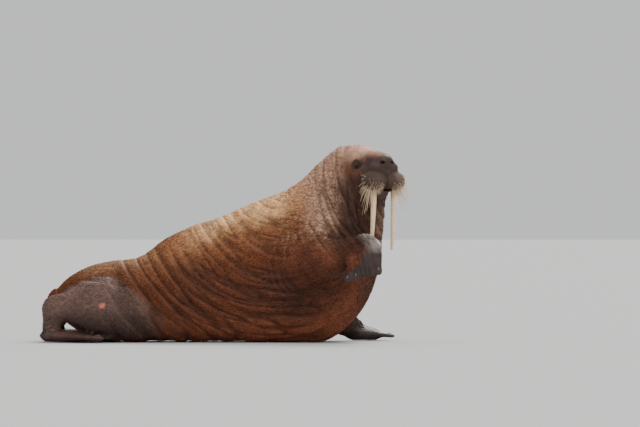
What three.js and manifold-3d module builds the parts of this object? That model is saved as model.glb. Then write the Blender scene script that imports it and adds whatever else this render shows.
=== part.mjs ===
// An adult female walrus hauled out on its belly, head up and turned to its right, at life size.
// Millimetres, +Z up, +X from tail to head, +Y to the animal's left. It rests on z = 0.
import * as THREE from 'three';
import { mergeVertices } from 'three/addons/utils/BufferGeometryUtils.js';
import Module from 'manifold-3d';

const wasm = await Module();
wasm.setup();

// Driving dimensions
const GAP = 0.3;
const TOLERANCE = 0.02;
const CRUMB = 0.06;
const FLOOR = 0;
const TRUNK_STEP = [46, 116, 102];
const HEAD_STEP = [34, 34, 31];
const MUZZLE_STEP = [21, 21, 21];
const JAW_STEP = [24, 24, 22];
const LIMB_STEP = [56, 54, 50];
const FLIPPER_STEP = [38, 38, 20];
const HIND_STEP = [50, 45, 22];
const HEAD_ORIGIN = [2393, -430, 1296];
const HEAD_YAW = THREE.MathUtils.degToRad(60);
const EYE = { forward: 12, side: 113, radius: 24, lid: 30, openLong: 20, openHigh: 13 };
const BRISTLE_SEED = { '-1': 11, 1: 17 };
const EYE_SOCKET = { at: [14, 128, 0], radii: [46, 30, 34] };
const NOSTRIL = { at: [222, 38, 8], radii: [17, 15, 8] };
const MOUTH = { at: [150, 0, -190], radii: [62, 84, 6] };
const EAR = { forward: -138, up: -28, radii: [9, 14, 24] };
const TUSK = {
  forward: 178, side: 82, top: -120, length: 505, rootRadius: 23, tipRadius: 10,
  bend: -34, splay: 5, long: 1.12, wide: 0.94, taper: 1.4, blunt: 7, rings: 10, sides: 12,
};
const BRISTLE = {
  rows: 7, perRow: 7, length: [34, 112], rise: [30, -62], turn: [-26, 94], scatter: 6,
  rootRadius: 1.9, tipRadius: 0.45, sunk: 9, droop: 0.3, sides: 3,
};
const NAIL = { length: 26, width: 12, height: 12, setBack: 44 };
const FOLDS = { hips: { depth: 15, spacing: 118 }, neck: { depth: 13, spacing: 112, offset: 40 }, bow: 130 };
const BLEND = { head: 90, arm: 90, leg: 60, heel: 50, tail: 40, hand: 40, foot: 30, toe: 34 };

// Sections of the trunk from rump to throat: the top and bottom of each as seen from the side, how far its
// middle lies to the animal's left, its half width, and the heading in degrees to the right of +X
const SECTIONS = [
  { top: [105, 395], bottom: [125, 175], side: 0, half: 117, heading: 0 },
  { top: [200, 484], bottom: [230, 95], side: 0, half: 230, heading: 0 },
  { top: [345, 557], bottom: [370, 20], side: 0, half: 310, heading: 0 },
  { top: [490, 591], bottom: [510, -14], side: 0, half: 358, heading: 0 },
  { top: [640, 606], bottom: [660, -18], side: 0, half: 376, heading: 0 },
  { top: [735, 640], bottom: [790, -18], side: 0, half: 381, heading: 0 },
  { top: [860, 735], bottom: [930, -20], side: -4, half: 385, heading: 1 },
  { top: [1000, 807], bottom: [1090, -20], side: -10, half: 389, heading: 3 },
  { top: [1146, 869], bottom: [1260, -20], side: -20, half: 391, heading: 5 },
  { top: [1292, 914], bottom: [1450, -20], side: -34, half: 389, heading: 7 },
  { top: [1438, 979], bottom: [1650, -18], side: -52, half: 384, heading: 9 },
  { top: [1584, 1037], bottom: [1850, -14], side: -74, half: 375, heading: 11 },
  { top: [1730, 1090], bottom: [2060, 10], side: -100, half: 363, heading: 14 },
  { top: [1840, 1146], bottom: [2240, 150], side: -126, half: 341, heading: 18 },
  { top: [1930, 1212], bottom: [2350, 330], side: -152, half: 310, heading: 22 },
  { top: [2010, 1294], bottom: [2400, 520], side: -178, half: 283, heading: 27 },
  { top: [2085, 1354], bottom: [2412, 690], side: -206, half: 253, heading: 33 },
  { top: [2150, 1398], bottom: [2408, 840], side: -238, half: 226, heading: 40 },
  { top: [2205, 1420], bottom: [2402, 960], side: -272, half: 204, heading: 48 },
];
const SECTION_DETAIL = 6;
const SECTION_WAIST = 0.42;
const SECTION_POWER = { above: 2.1, below: 2.5 };
const RUMP_CAP = 95;
const THROAT_CAP = 70;

const MATERIALS = {
  hide: { color: 0x8a5a38, roughness: 0.75 },
  neck: { color: 0x846250, roughness: 0.78 },
  face: { color: 0x6b574c, roughness: 0.6 },
  flipper: { color: 0x5f5450, roughness: 0.6 },
  ivory: { color: 0xe6cdaf, roughness: 0.35 },
  eye: { color: 0x1d1310, roughness: 0.08 },
};

// Small vector sums on plain arrays, for speed
const add = (a, b) => [a[0] + b[0], a[1] + b[1], a[2] + b[2]];
const sub = (a, b) => [a[0] - b[0], a[1] - b[1], a[2] - b[2]];
const scale = (a, s) => [a[0] * s, a[1] * s, a[2] * s];
const dot = (a, b) => a[0] * b[0] + a[1] * b[1] + a[2] * b[2];
const cross = (a, b) => [
  a[1] * b[2] - a[2] * b[1],
  a[2] * b[0] - a[0] * b[2],
  a[0] * b[1] - a[1] * b[0],
];
const unit = (a) => scale(a, 1 / Math.hypot(...a));
const mix = (a, b, t) => a + (b - a) * t;
const clamp = (x, low, high) => Math.min(high, Math.max(low, x));
const smoothstep = (low, high, x) => {
  const t = clamp((x - low) / (high - low), 0, 1);
  return t * t * (3 - 2 * t);
};

/** The lesser of two distances, with the crease between them rounded over a width k. */
function blend(a, b, k) {
  const h = Math.max(k - Math.abs(a - b), 0) / k;
  return Math.min(a, b) - h * h * k * 0.25;
}

/** A repeatable stream of numbers from 0 to 1. */
function seededRandom(seed) {
  let state = seed >>> 0;
  return () => {
    state = (state * 1664525 + 1013904223) >>> 0;
    return state / 4294967296;
  };
}

/** About the distance from p, given from the middle, to an ellipsoid of these radii. */
function ellipsoidDistance(p, radii) {
  const near = Math.hypot(p[0] / radii[0], p[1] / radii[1], p[2] / radii[2]);
  const steep = Math.hypot(p[0] / radii[0] ** 2, p[1] / radii[1] ** 2, p[2] / radii[2] ** 2);
  return steep < 1e-9 ? -Math.min(...radii) : (near * (near - 1)) / steep;
}

/** Distance from p to a rod that tapers from radius ra at a to rb at b. */
function rodDistance(p, a, b, ra, rb) {
  const ab = sub(b, a);
  const ap = sub(p, a);
  const t = clamp(dot(ap, ab) / dot(ab, ab), 0, 1);
  return Math.hypot(...sub(ap, scale(ab, t))) - mix(ra, rb, t);
}

// The trunk: sections laid between the tabled ones by a smooth curve, each with its own plane
function curveThrough(values, t) {
  const i = clamp(Math.floor(t), 0, values.length - 2);
  const f = t - i;
  const at = (k) => values[clamp(k, 0, values.length - 1)];
  const [a, b, c, d] = [at(i - 1), at(i), at(i + 1), at(i + 2)];
  return b + 0.5 * f * (c - a + f * (2 * a - 5 * b + 4 * c - d + f * (3 * (b - c) + d - a)));
}

function makeSection(t) {
  const read = (pick) => curveThrough(SECTIONS.map(pick), t);
  const heading = THREE.MathUtils.degToRad(read((s) => s.heading));
  const top = [read((s) => s.top[0]), read((s) => s.top[1])];
  const bottom = [read((s) => s.bottom[0]), read((s) => s.bottom[1])];
  const lean = bottom[0] - top[0];
  const rise = [-lean, lean * Math.tan(heading), top[1] - bottom[1]];
  const height = Math.hypot(...rise);
  const up = unit(rise);
  const left = [Math.sin(heading), Math.cos(heading), 0];
  const middle = [(top[0] + bottom[0]) / 2, read((s) => s.side), (top[1] + bottom[1]) / 2];
  const centre = add(middle, scale(up, (SECTION_WAIST - 0.5) * height));
  return {
    centre, up, left, ahead: cross(left, up), half: read((s) => s.half),
    above: (1 - SECTION_WAIST) * height, below: SECTION_WAIST * height,
  };
}

const LAST_SECTION = (SECTIONS.length - 1) * SECTION_DETAIL;
const sections = Array.from({ length: LAST_SECTION + 1 }, (_, i) => makeSection(i / SECTION_DETAIL));
const sectionStart = [0];
for (let i = 1; i <= LAST_SECTION; i += 1) {
  sectionStart.push(sectionStart[i - 1] + Math.hypot(...sub(sections[i].centre, sections[i - 1].centre)));
}

/** Where p lies along and around the trunk, and its distance from the bare loft. */
function trunkPlace(p) {
  let low = 0;
  let high = LAST_SECTION;
  const ahead = (i) => dot(sub(p, sections[i].centre), sections[i].ahead);
  while (high - low > 1) {
    const middle = (low + high) >> 1;
    if (ahead(middle) > 0) low = middle;
    else high = middle;
  }
  const before = ahead(low);
  const after = ahead(high);
  const f = clamp(before / Math.max(before - after, 1e-6), 0, 1);
  const a = sections[low];
  const b = sections[high];
  const read = (key) => mix(a[key], b[key], f);
  const rel = [0, 1, 2].map((k) => p[k] - mix(a.centre[k], b.centre[k], f));
  const side = dot(rel, [0, 1, 2].map((k) => mix(a.left[k], b.left[k], f)));
  const rise = dot(rel, [0, 1, 2].map((k) => mix(a.up[k], b.up[k], f)));
  const high2 = rise > 0 ? read('above') : read('below');
  const power = rise > 0 ? SECTION_POWER.above : SECTION_POWER.below;
  const half = read('half');
  let q = (Math.abs(side / half) ** power + Math.abs(rise / high2) ** power) ** (1 / power);
  let far = Math.hypot(side, rise);
  const beyond = low === 0 ? Math.min(before, 0) : high === LAST_SECTION ? Math.max(after, 0) : 0;
  if (beyond) {
    q = Math.hypot(q, beyond / (beyond < 0 ? RUMP_CAP : THROAT_CAP));
    far = Math.hypot(far, beyond);
  }
  const distance = q < 1e-3 ? -Math.min(half, high2) : far * (1 - 1 / q);
  return { distance, along: mix(sectionStart[low], sectionStart[high], f), side: side / half, rise: rise / high2 };
}

/** How deep the large skin folds lie at a place on the trunk. */
function foldDepth(place) {
  const { along, rise, side } = place;
  const flank = smoothstep(0.05, 0.5, Math.abs(side));
  const arc = FOLDS.bow * (1 - rise * rise) * flank;
  const groove = (offset, spacing) => {
    const wave = Math.cos((2 * Math.PI * (along - arc + offset)) / spacing);
    return Math.max(0, wave) ** 2;
  };
  const hips = smoothstep(430, 620, along) * (1 - smoothstep(900, 1150, along));
  const neck = smoothstep(1640, 1760, along) * (1 - smoothstep(2080, 2200, along));
  const onHips = FOLDS.hips.depth * hips * groove(0, FOLDS.hips.spacing) * (0.35 + 0.65 * flank);
  return onHips + FOLDS.neck.depth * neck * groove(FOLDS.neck.offset, FOLDS.neck.spacing);
}

// The head's own frame: [forward, left, up] from a point midway between the eyes
const HEAD_AHEAD = [Math.cos(HEAD_YAW), -Math.sin(HEAD_YAW), 0];
const HEAD_LEFT = [Math.sin(HEAD_YAW), Math.cos(HEAD_YAW), 0];
const toHead = (p) => {
  const rel = sub(p, HEAD_ORIGIN);
  return [dot(rel, HEAD_AHEAD), dot(rel, HEAD_LEFT), rel[2]];
};
const fromHead = ([f, l, u]) => add(add(HEAD_ORIGIN, scale(HEAD_AHEAD, f)), add(scale(HEAD_LEFT, l), [0, 0, u]));

const SKULL = [
  { at: [-190, 0, 8], radii: [200, 155, 137], soft: 60 },
  { at: [0, 0, 10], radii: [150, 102, 90], soft: 50 },
  { at: [120, 0, 24], radii: [112, 86, 64], soft: 44 },
  { at: [100, 0, -70], radii: [120, 90, 90], soft: 40 },
];
const PAIRED = [
  { at: [-6, 96, 0], radii: [46, 44, 40], soft: 34 },
  { at: [-60, 78, -80], radii: [130, 74, 108], soft: 70 },
  { at: [176, 58, -30], radii: [52, 60, 46], soft: 24 },
  { at: [168, 78, -127], radii: [90, 97, 79], soft: 24 },
];
const PAD_MIDDLE = PAIRED[3].at;
const CHIN = { at: [96, 0, -206], radii: [84, 76, 58], soft: 18 };
const THROAT = { at: [-30, 0, -190], radii: [150, 122, 100], soft: 70 };
const NOSE = { at: [188, 0, 2], radii: [46, 70, 46], soft: 30 };

function headDistance(p) {
  const q = toHead(p);
  const mirrored = [q[0], Math.abs(q[1]), q[2]];
  let d = 1e6;
  for (const part of [...SKULL, THROAT]) d = blend(d, ellipsoidDistance(sub(q, part.at), part.radii), part.soft);
  for (const part of PAIRED) d = blend(d, ellipsoidDistance(sub(mirrored, part.at), part.radii), part.soft);
  for (const part of [NOSE, CHIN]) d = blend(d, ellipsoidDistance(sub(q, part.at), part.radii), part.soft);
  return d;
}

// Limbs: rods for the muscle, and a fan of flattened rods for each webbed flipper
const RIGHT_ARM = [
  { a: [1930, -410, 540], b: [2060, -560, 595], ra: 165, rb: 146 },
  { a: [2060, -560, 595], b: [2335, -690, 695], ra: 146, rb: 90 },
];
const LEFT_ARM = [
  { a: [1880, 150, 420], b: [2060, 260, 230], ra: 185, rb: 145 },
  { a: [2060, 260, 230], b: [2262, 335, 95], ra: 145, rb: 84 },
];
const RIGHT_LEG = [
  { a: [800, -275, 160], b: [430, -292, 265], ra: 110, rb: 188 },
  { a: [430, -292, 265], b: [110, -215, 255], ra: 188, rb: 95 },
];
const LEFT_LEG = RIGHT_LEG.map(({ a, b, ra, rb }) => ({ a: [a[0], -a[1], a[2]], b: [b[0], -b[1], b[2]], ra, rb }));
const HEELS = [-1, 1].map((side) => ({ a: [92, side * 220, 230], b: [60, side * 246, 52], ra: 88, rb: 60 }));
const TAIL = { a: [150, 0, 250], b: [22, 0, 200], ra: 62, rb: 20 };

/** A flipper from its root: axis along the middle toe, across from the fifth toe to the first. */
function makeFlipper({ root, axis, across, thick, toes, palm }) {
  const x = unit(axis);
  const z = unit(cross(x, across));
  const y = cross(z, x);
  const digits = toes.map(({ start, reach, radius }) => ({
    a: [palm.back, start, 0],
    b: [reach[0], reach[1], 0],
    ra: radius * 1.15,
    rb: radius,
  }));
  return { root, x, y, z, thick, digits, palm };
}

const intoFlipper = (flipper, p) => {
  const rel = sub(p, flipper.root);
  return [dot(rel, flipper.x), dot(rel, flipper.y), dot(rel, flipper.z)];
};
const outOfFlipper = (f, [x, y, z]) => add(add(f.root, scale(f.x, x)), add(scale(f.y, y), scale(f.z, z)));

function flipperDistance(p, flipper) {
  const q = intoFlipper(flipper, p);
  const flat = [q[0], q[1], q[2] / flipper.thick];
  const { palm } = flipper;
  let d = ellipsoidDistance(sub(flat, [palm.middle, 0, 0]), [palm.length, palm.width, palm.depth / flipper.thick]);
  for (const { a, b, ra, rb } of flipper.digits) d = blend(d, rodDistance(flat, a, b, ra, rb), BLEND.toe);
  return d * Math.min(1, flipper.thick + 0.25);
}

const FORE_TOES = [
  { start: 78, reach: [262, 112], radius: 30 },
  { start: 40, reach: [268, 58], radius: 27 },
  { start: 2, reach: [270, 4], radius: 26 },
  { start: -34, reach: [262, -52], radius: 26 },
  { start: -66, reach: [246, -108], radius: 27 },
];
const RAISED_TOES = [
  { start: 78, reach: [205, 112], radius: 30 },
  { start: 40, reach: [220, 58], radius: 27 },
  { start: 2, reach: [234, 4], radius: 26 },
  { start: -34, reach: [262, -52], radius: 26 },
  { start: -66, reach: [284, -112], radius: 27 },
];
const HIND_TOES = [
  { start: 62, reach: [430, 168], radius: 38 },
  { start: 32, reach: [392, 84], radius: 30 },
  { start: 0, reach: [378, 0], radius: 28 },
  { start: -32, reach: [392, -84], radius: 30 },
  { start: -62, reach: [430, -168], radius: 38 },
];
const FORE_PALM = { back: 20, middle: 80, length: 150, width: 118, depth: 62 };
const HIND_PALM = { back: 30, middle: 120, length: 210, width: 120, depth: 52 };

const RIGHT_HAND = makeFlipper({
  root: [2350, -712, 730], axis: [-20, -36, -235], across: [1, -0.05, -0.1], thick: 0.62,
  toes: RAISED_TOES, palm: FORE_PALM,
});
const LEFT_HAND = makeFlipper({
  root: [2264, 337, 62], axis: [270, 120, -28], across: [0.4, -0.9, 0], thick: 0.62,
  toes: FORE_TOES, palm: FORE_PALM,
});
const HIND_FEET = [-1, 1].map((side) => makeFlipper({
  root: [70, side * 246, 46], axis: [400, side * 128, -14], across: [0.3, -1, 0], thick: 0.6,
  toes: HIND_TOES, palm: HIND_PALM,
}));

/** Distance to the body without its webbed feet, which are too thin for a coarse net. */
function coreDistance(p) {
  const place = trunkPlace(p);
  let d = place.distance + (Math.abs(place.distance) < 120 ? foldDepth(place) : 0);
  if (p[0] > 1900 && p[2] > 800) d = blend(d, headDistance(p), BLEND.head);
  const limb = (rods, soft) => {
    for (const { a, b, ra, rb } of rods) d = blend(d, rodDistance(p, a, b, ra, rb), soft);
  };
  if (p[0] > 1500) {
    limb(p[1] < -100 ? RIGHT_ARM : LEFT_ARM, BLEND.arm);
  }
  if (p[0] < 1300) {
    limb(p[1] < 0 ? RIGHT_LEG : LEFT_LEG, BLEND.leg);
    limb([TAIL], BLEND.tail);
    limb(HEELS, BLEND.heel);
  }
  return d;
}

/** Distance to the whole body. */
function bodyDistance(p) {
  let d = coreDistance(p);
  if (p[0] > 1500) d = blend(d, flipperDistance(p, p[1] < -100 ? RIGHT_HAND : LEFT_HAND), BLEND.hand);
  if (p[0] < 1300) {
    for (const foot of HIND_FEET) d = blend(d, flipperDistance(p, foot), BLEND.foot);
  }
  return d;
}

// Which corners of a cell lie next to each other, and which sets of inside corners give one plain sheet
const CORNERS = [0, 1, 2, 3, 4, 5, 6, 7];
const apart = (a, b) => CORNERS.slice(0, 3).filter((axis) => ((a ^ b) >> axis) & 1).length;
const joined = (set) => {
  const reached = set.slice(0, 1);
  for (const a of reached) reached.push(...set.filter((b) => apart(a, b) === 1 && !reached.includes(b)));
  return reached.length === set.length;
};
const crossedFace = (mask) => CORNERS.some((a) => CORNERS.some((b) => {
  if (apart(a, b) !== 2 || !(mask >> a & 1) || !(mask >> b & 1)) return false;
  return CORNERS.filter((c) => apart(a, c) === 1 && apart(b, c) === 1).every((c) => !(mask >> c & 1));
}));
const PLAIN_SHEET = Array.from({ length: 256 }, (_, mask) => {
  const inside = CORNERS.filter((c) => mask >> c & 1);
  return joined(inside) && joined(CORNERS.filter((c) => !inside.includes(c))) && !crossedFace(mask);
});

/** Fills corners, the shallowest first, until each cell is crossed by one plain sheet at most. */
function fillPinches(values, [nx, ny, nz], index) {
  let changed = true;
  while (changed) {
    changed = false;
    for (let k = 0; k < nz - 1; k += 1) {
      for (let j = 0; j < ny - 1; j += 1) {
        for (let i = 0; i < nx - 1; i += 1) {
          const corners = CORNERS.map((c) => index(i + (c & 1), j + (c >> 1 & 1), k + (c >> 2)));
          const mask = corners.reduce((sum, n, c) => sum | (values[n] < 0 ? 1 << c : 0), 0);
          if (PLAIN_SHEET[mask]) continue;
          const open = corners.filter((n) => values[n] >= 0).sort((a, b) => values[a] - values[b])[0];
          values[open] *= -0.05;
          changed = true;
        }
      }
    }
  }
}

/** The surface where a distance is zero, inside a box, as triangles from a net of one point a cell. */
function netSurface(distance, low, high, step) {
  const count = [0, 1, 2].map((k) => Math.ceil((high[k] - low[k]) / step[k]) + 4);
  const [nx, ny, nz] = count;
  const place = (i, j, k) => [i, j, k].map((n, axis) => low[axis] + (n - 1.5) * step[axis]);
  const field = (p) => {
    let d = distance(p);
    for (let k = 0; k < 3; k += 1) d = Math.max(d, low[k] + 0.01 - p[k], p[k] - high[k] + 0.01);
    return d;
  };
  const values = new Float32Array(nx * ny * nz);
  const index = (i, j, k) => (k * ny + j) * nx + i;
  for (let k = 0; k < nz; k += 1) {
    for (let j = 0; j < ny; j += 1) {
      for (let i = 0; i < nx; i += 1) values[index(i, j, k)] = field(place(i, j, k)) || 1e-4;
    }
  }
  fillPinches(values, count, index);
  const points = [];
  const cellPoint = new Int32Array(nx * ny * nz).fill(-1);
  const slope = (p) => {
    const e = 2;
    const at = (k, s) => field(p.map((x, n) => (n === k ? x + s : x)));
    return [0, 1, 2].map((k) => (at(k, e) - at(k, -e)) / (2 * e));
  };
  const settle = (p, from) => {
    let q = p;
    for (let round = 0; round < 4; round += 1) {
      const g = slope(q);
      const steep = Math.max(dot(g, g), 0.2);
      q = sub(q, scale(g, (0.8 * field(q)) / steep));
    }
    return q.map((x, k) => clamp(x, from[k] + 0.04 * step[k], from[k] + 0.96 * step[k]));
  };
  for (let k = 0; k < nz - 1; k += 1) {
    for (let j = 0; j < ny - 1; j += 1) {
      for (let i = 0; i < nx - 1; i += 1) {
        let sum = [0, 0, 0];
        let found = 0;
        for (let corner = 0; corner < 8; corner += 1) {
          for (let axis = 0; axis < 3; axis += 1) {
            if (corner & (1 << axis)) continue;
            const c = [corner & 1, (corner >> 1) & 1, (corner >> 2) & 1];
            const e = c.map((x, n) => (n === axis ? 1 : x));
            const va = values[index(i + c[0], j + c[1], k + c[2])];
            const vb = values[index(i + e[0], j + e[1], k + e[2])];
            if (va < 0 === vb < 0) continue;
            const t = va / (va - vb);
            sum = add(sum, c.map((x, n) => mix(x, e[n], t)));
            found += 1;
          }
        }
        if (!found) continue;
        const corner = place(i, j, k);
        const start = corner.map((x, n) => x + (sum[n] / found) * step[n]);
        cellPoint[index(i, j, k)] = points.length;
        points.push(settle(start, corner));
      }
    }
  }
  const triangles = [];
  const quad = (a, b, c, d) => {
    const [pa, pb, pc, pd] = [a, b, c, d].map((n) => points[n]);
    if (Math.hypot(...sub(pa, pc)) < Math.hypot(...sub(pb, pd))) triangles.push(a, b, c, a, c, d);
    else triangles.push(a, b, d, b, c, d);
  };
  const stride = [index(1, 0, 0), index(0, 1, 0), index(0, 0, 1)];
  for (let k = 1; k < nz - 1; k += 1) {
    for (let j = 1; j < ny - 1; j += 1) {
      for (let i = 1; i < nx - 1; i += 1) {
        const here = index(i, j, k);
        for (let axis = 0; axis < 3; axis += 1) {
          const va = values[here];
          const vb = values[here + stride[axis]];
          if (va < 0 === vb < 0) continue;
          const u = stride[(axis + 1) % 3];
          const v = stride[(axis + 2) % 3];
          const ring = [here - u - v, here - v, here, here - u].map((n) => cellPoint[n]);
          if (va < 0) quad(...ring);
          else quad(...ring.reverse());
        }
      }
    }
  }
  return { points, triangles };
}

// Solids
const toManifold = ({ points, triangles }) => new wasm.Manifold(new wasm.Mesh({
  numProp: 3,
  vertProperties: new Float32Array(points.flat()),
  triVerts: new Uint32Array(triangles),
  tolerance: TOLERANCE,
}));

function geometryManifold(geometry, matrix = new THREE.Matrix4()) {
  const plain = geometry.clone();
  plain.deleteAttribute('normal');
  plain.deleteAttribute('uv');
  const merged = mergeVertices(plain.applyMatrix4(matrix), 1e-4);
  return new wasm.Manifold(new wasm.Mesh({
    numProp: 3,
    vertProperties: new Float32Array(merged.attributes.position.array),
    triVerts: new Uint32Array(merged.index.array),
    tolerance: TOLERANCE,
  }));
}

const largest = (solid) => solid.decompose().sort((a, b) => b.volume() - a.volume())[0];

/** A box given by its middle, its half sizes and its own axes, grown by some margin. */
function orientedBox({ centre, half, axes }, grow) {
  const box = new THREE.BoxGeometry(...half.map((h) => 2 * (h + grow)));
  const matrix = new THREE.Matrix4().makeBasis(...axes.map((a) => new THREE.Vector3(...a)));
  return geometryManifold(box, matrix.setPosition(...centre));
}

/** The box's reach along the world's axes. */
function reachOf({ centre, half, axes }) {
  const reach = [0, 1, 2].map((k) => half.reduce((sum, h, n) => sum + h * Math.abs(axes[n][k]), 0));
  return [sub(centre, reach), add(centre, reach)];
}

const WORLD = [[1, 0, 0], [0, 1, 0], [0, 0, 1]];
const block = (low, high) => ({
  centre: scale(add(low, high), 0.5), half: scale(sub(high, low), 0.5), axes: WORLD,
});

/** A box in the head's frame, tipped nose down by some degrees about its middle. */
function headBlock(low, high, tip = 0) {
  const angle = THREE.MathUtils.degToRad(tip);
  const [c, s] = [Math.cos(angle), Math.sin(angle)];
  const ahead = sub(scale(HEAD_AHEAD, c), [0, 0, s]);
  const up = add(scale(HEAD_AHEAD, s), [0, 0, c]);
  return {
    centre: fromHead(scale(add(low, high), 0.5)), half: scale(sub(high, low), 0.5), axes: [ahead, HEAD_LEFT, up],
  };
}

/** A wide box whose near face holds a point and faces against a direction. */
function halfSpace(point, ahead, left, depth, wide) {
  const up = cross(ahead, left);
  return { centre: add(point, scale(ahead, depth)), half: [depth, wide, wide], axes: [ahead, left, up] };
}

/** A box that holds all of the trunk ahead of one of its sections. */
function aheadOf(sectionIndex) {
  const { centre, ahead, left } = makeSection(sectionIndex);
  return halfSpace(centre, ahead, left, 1500, 1500);
}

/** Flesh inside a region, as a net of its own fineness, above the floor. */
function flesh(low, high, step, distance = bodyDistance) {
  return toManifold(netSurface(distance, low, high, step));
}

const ground = orientedBox(block([-3000, -3000, -500], [5000, 3000, FLOOR]), 0);

/** What the regions of one list keep of a net, less what other regions take. */
function carve(solid, inside, outside) {
  let result = solid.subtract(ground);
  for (const region of inside) result = result.intersect(orientedBox(region, -GAP / 2));
  for (const region of outside) result = result.subtract(orientedBox(region, GAP / 2));
  return largest(result);
}

/** A net over a region's reach, cut to it. */
function carveFine(region, step, outside = [], also = []) {
  const [low, high] = reachOf(region);
  const margin = step.map((s) => s * 1.5);
  return carve(flesh(sub(low, margin), add(high, margin), step), [region, ...also], outside);
}

// Regions of the named parts
const HEAD_TILT = 33;
const HEAD = (() => {
  const angle = THREE.MathUtils.degToRad(HEAD_TILT);
  const ahead = add(scale(HEAD_AHEAD, Math.cos(angle)), [0, 0, Math.sin(angle)]);
  return {
    ...halfSpace(fromHead([-190, 0, 100]), ahead, HEAD_LEFT, 300, 620),
  };
})();
const JAW = headBlock([20, -64, -320], [200, 64, -192], 4);
const PAD_RIGHT = headBlock([92, -190, -214], [300, 0, -56]);
const PAD_LEFT = headBlock([92, 0, -214], [300, 190, -56]);
const NOSE_BOX = headBlock([140, -125, -56], [290, 125, 72]);
const RIGHT_ARM_BOX = block([1760, -1000, 380], [2600, -530, 860]);
const RIGHT_HAND_BOX = (() => {
  const ahead = unit([0.9, 0, -0.44]);
  return halfSpace([2318, -700, 700], ahead, [0, 1, 0], 360, 460);
})();
const LEFT_ARM_BOX = (() => {
  const ahead = unit([0.62, 0.62, -0.48]);
  return halfSpace([2070, 250, 200], ahead, unit([-0.62, 0.62, 0]), 480, 480);
})();
const LEFT_HAND_BOX = (() => {
  const ahead = unit([0.86, 0.38, -0.2]);
  return halfSpace([2262, 350, 80], ahead, unit([-0.38, 0.86, 0]), 400, 440);
})();
const LEG_BOXES = [-1, 1].map((side) => {
  const knee = [930, side * 330, 245];
  const back = unit([-1010, -side * 285, 400]);
  const out = unit([-285, side * 1010, 0]);
  const up = cross(back, out)[2] > 0 ? cross(back, out) : cross(out, back);
  const [long, wide, tall] = [620, 260, 420];
  const centre = add(add(knee, scale(back, long)), add(scale(out, wide), scale(up, -tall)));
  return side < 0
    ? { centre, half: [long, wide, tall], axes: [back, out, up] }
    : { centre, half: [wide, long, tall], axes: [out, back, up] };
});
const FOOT_BOXES = [-1, 1].map((side) => block(
  side < 0 ? [-200, -800, -50] : [-200, 60, -50],
  side < 0 ? [700, -60, 120] : [700, 800, 120],
));
const TAIL_BOX = block([-150, -90, 100], [78, 90, 330]);

const NECK_START = 15;
const CHEST_START = 10;
const HIPS_END = 6;
const TRUNK_LOW = [-120, -560, -40];
const TRUNK_HIGH = [2560, 420, 1500];

const nodes = new Map();
const keep = (name, solid, material) => nodes.set(name, { solid, material });

const trunkNet = flesh(TRUNK_LOW, TRUNK_HIGH, TRUNK_STEP, coreDistance);
const limbsAndHead = [HEAD, RIGHT_ARM_BOX, LEFT_ARM_BOX, ...LEG_BOXES, ...FOOT_BOXES, TAIL_BOX];
keep('neck', carve(trunkNet, [aheadOf(NECK_START)], limbsAndHead), 'neck');
keep('chest', carve(trunkNet, [aheadOf(CHEST_START)], [aheadOf(NECK_START), ...limbsAndHead]), 'hide');
keep('belly', carve(trunkNet, [aheadOf(HIPS_END)], [aheadOf(CHEST_START), ...limbsAndHead]), 'hide');
keep('hips', carve(trunkNet, [], [aheadOf(HIPS_END), ...limbsAndHead]), 'hide');

const atSide = (side, name) => `${side < 0 ? 'right' : 'left'}_${name}`;

// Head and muzzle
const eyeAt = (side) => fromHead([EYE.forward, side * EYE.side, 0]);
const ball = (centre, radius, long, high) => {
  const matrix = new THREE.Matrix4().makeTranslation(...centre);
  return geometryManifold(new THREE.SphereGeometry(radius, long, high), matrix);
};

/** An almond opening along the head's left or right, where the eye shows between its lids. */
function lidOpening(side) {
  const shape = new THREE.SphereGeometry(1, 12, 8);
  const axes = [HEAD_AHEAD, HEAD_LEFT, [0, 0, 1]].map((a) => new THREE.Vector3(...a));
  const matrix = new THREE.Matrix4().makeBasis(...axes)
    .scale(new THREE.Vector3(EYE.openLong, EYE.lid, EYE.openHigh))
    .setPosition(...fromHead([EYE.forward, side * (EYE.side + EYE.radius), 0]));
  return geometryManifold(shape, matrix);
}

/** A hollow of the head's right or left, as the oval that is cut away. */
function makePit(side, { at, radii }) {
  const axes = [HEAD_AHEAD, HEAD_LEFT, [0, 0, 1]].map((a) => new THREE.Vector3(...a));
  const matrix = new THREE.Matrix4().makeBasis(...axes)
    .scale(new THREE.Vector3(...radii))
    .setPosition(...fromHead([at[0], side * at[1], at[2]]));
  return geometryManifold(new THREE.SphereGeometry(1, 8, 6), matrix);
}

/** Tusk of one side: a tapering, slightly bent oval rod with a blunt tip. */
function makeTusk(side, grow) {
  const { forward, top, length, rootRadius, tipRadius, bend, splay, rings, sides } = TUSK;
  const points = [];
  const triangles = [];
  for (let i = 0; i <= rings; i += 1) {
    const t = i / rings;
    const radius = (i === rings ? tipRadius / 2 : mix(rootRadius, tipRadius, t ** TUSK.taper)) + grow;
    const middle = fromHead([forward + bend * t * t, side * (TUSK.side + splay * t), top - length * t + grow]);
    for (let j = 0; j < sides; j += 1) {
      const turn = (2 * Math.PI * j) / sides;
      const ahead = scale(HEAD_AHEAD, radius * TUSK.long * Math.cos(turn));
      points.push(add(middle, add(ahead, scale(HEAD_LEFT, radius * TUSK.wide * Math.sin(turn)))));
    }
  }
  const last = rings * sides;
  points.push(fromHead([forward, side * TUSK.side, top + grow]));
  points.push(fromHead([forward + bend, side * (TUSK.side + splay), top - length - TUSK.blunt - grow]));
  for (let j = 0; j < sides; j += 1) {
    const next = (j + 1) % sides;
    for (let i = 0; i < rings; i += 1) {
      const a = i * sides + j;
      const b = i * sides + next;
      triangles.push(a, b + sides, b, a, a + sides, b + sides);
    }
    triangles.push(points.length - 2, j, next, points.length - 1, last + next, last + j);
  }
  return toManifold({ points, triangles });
}

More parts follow.
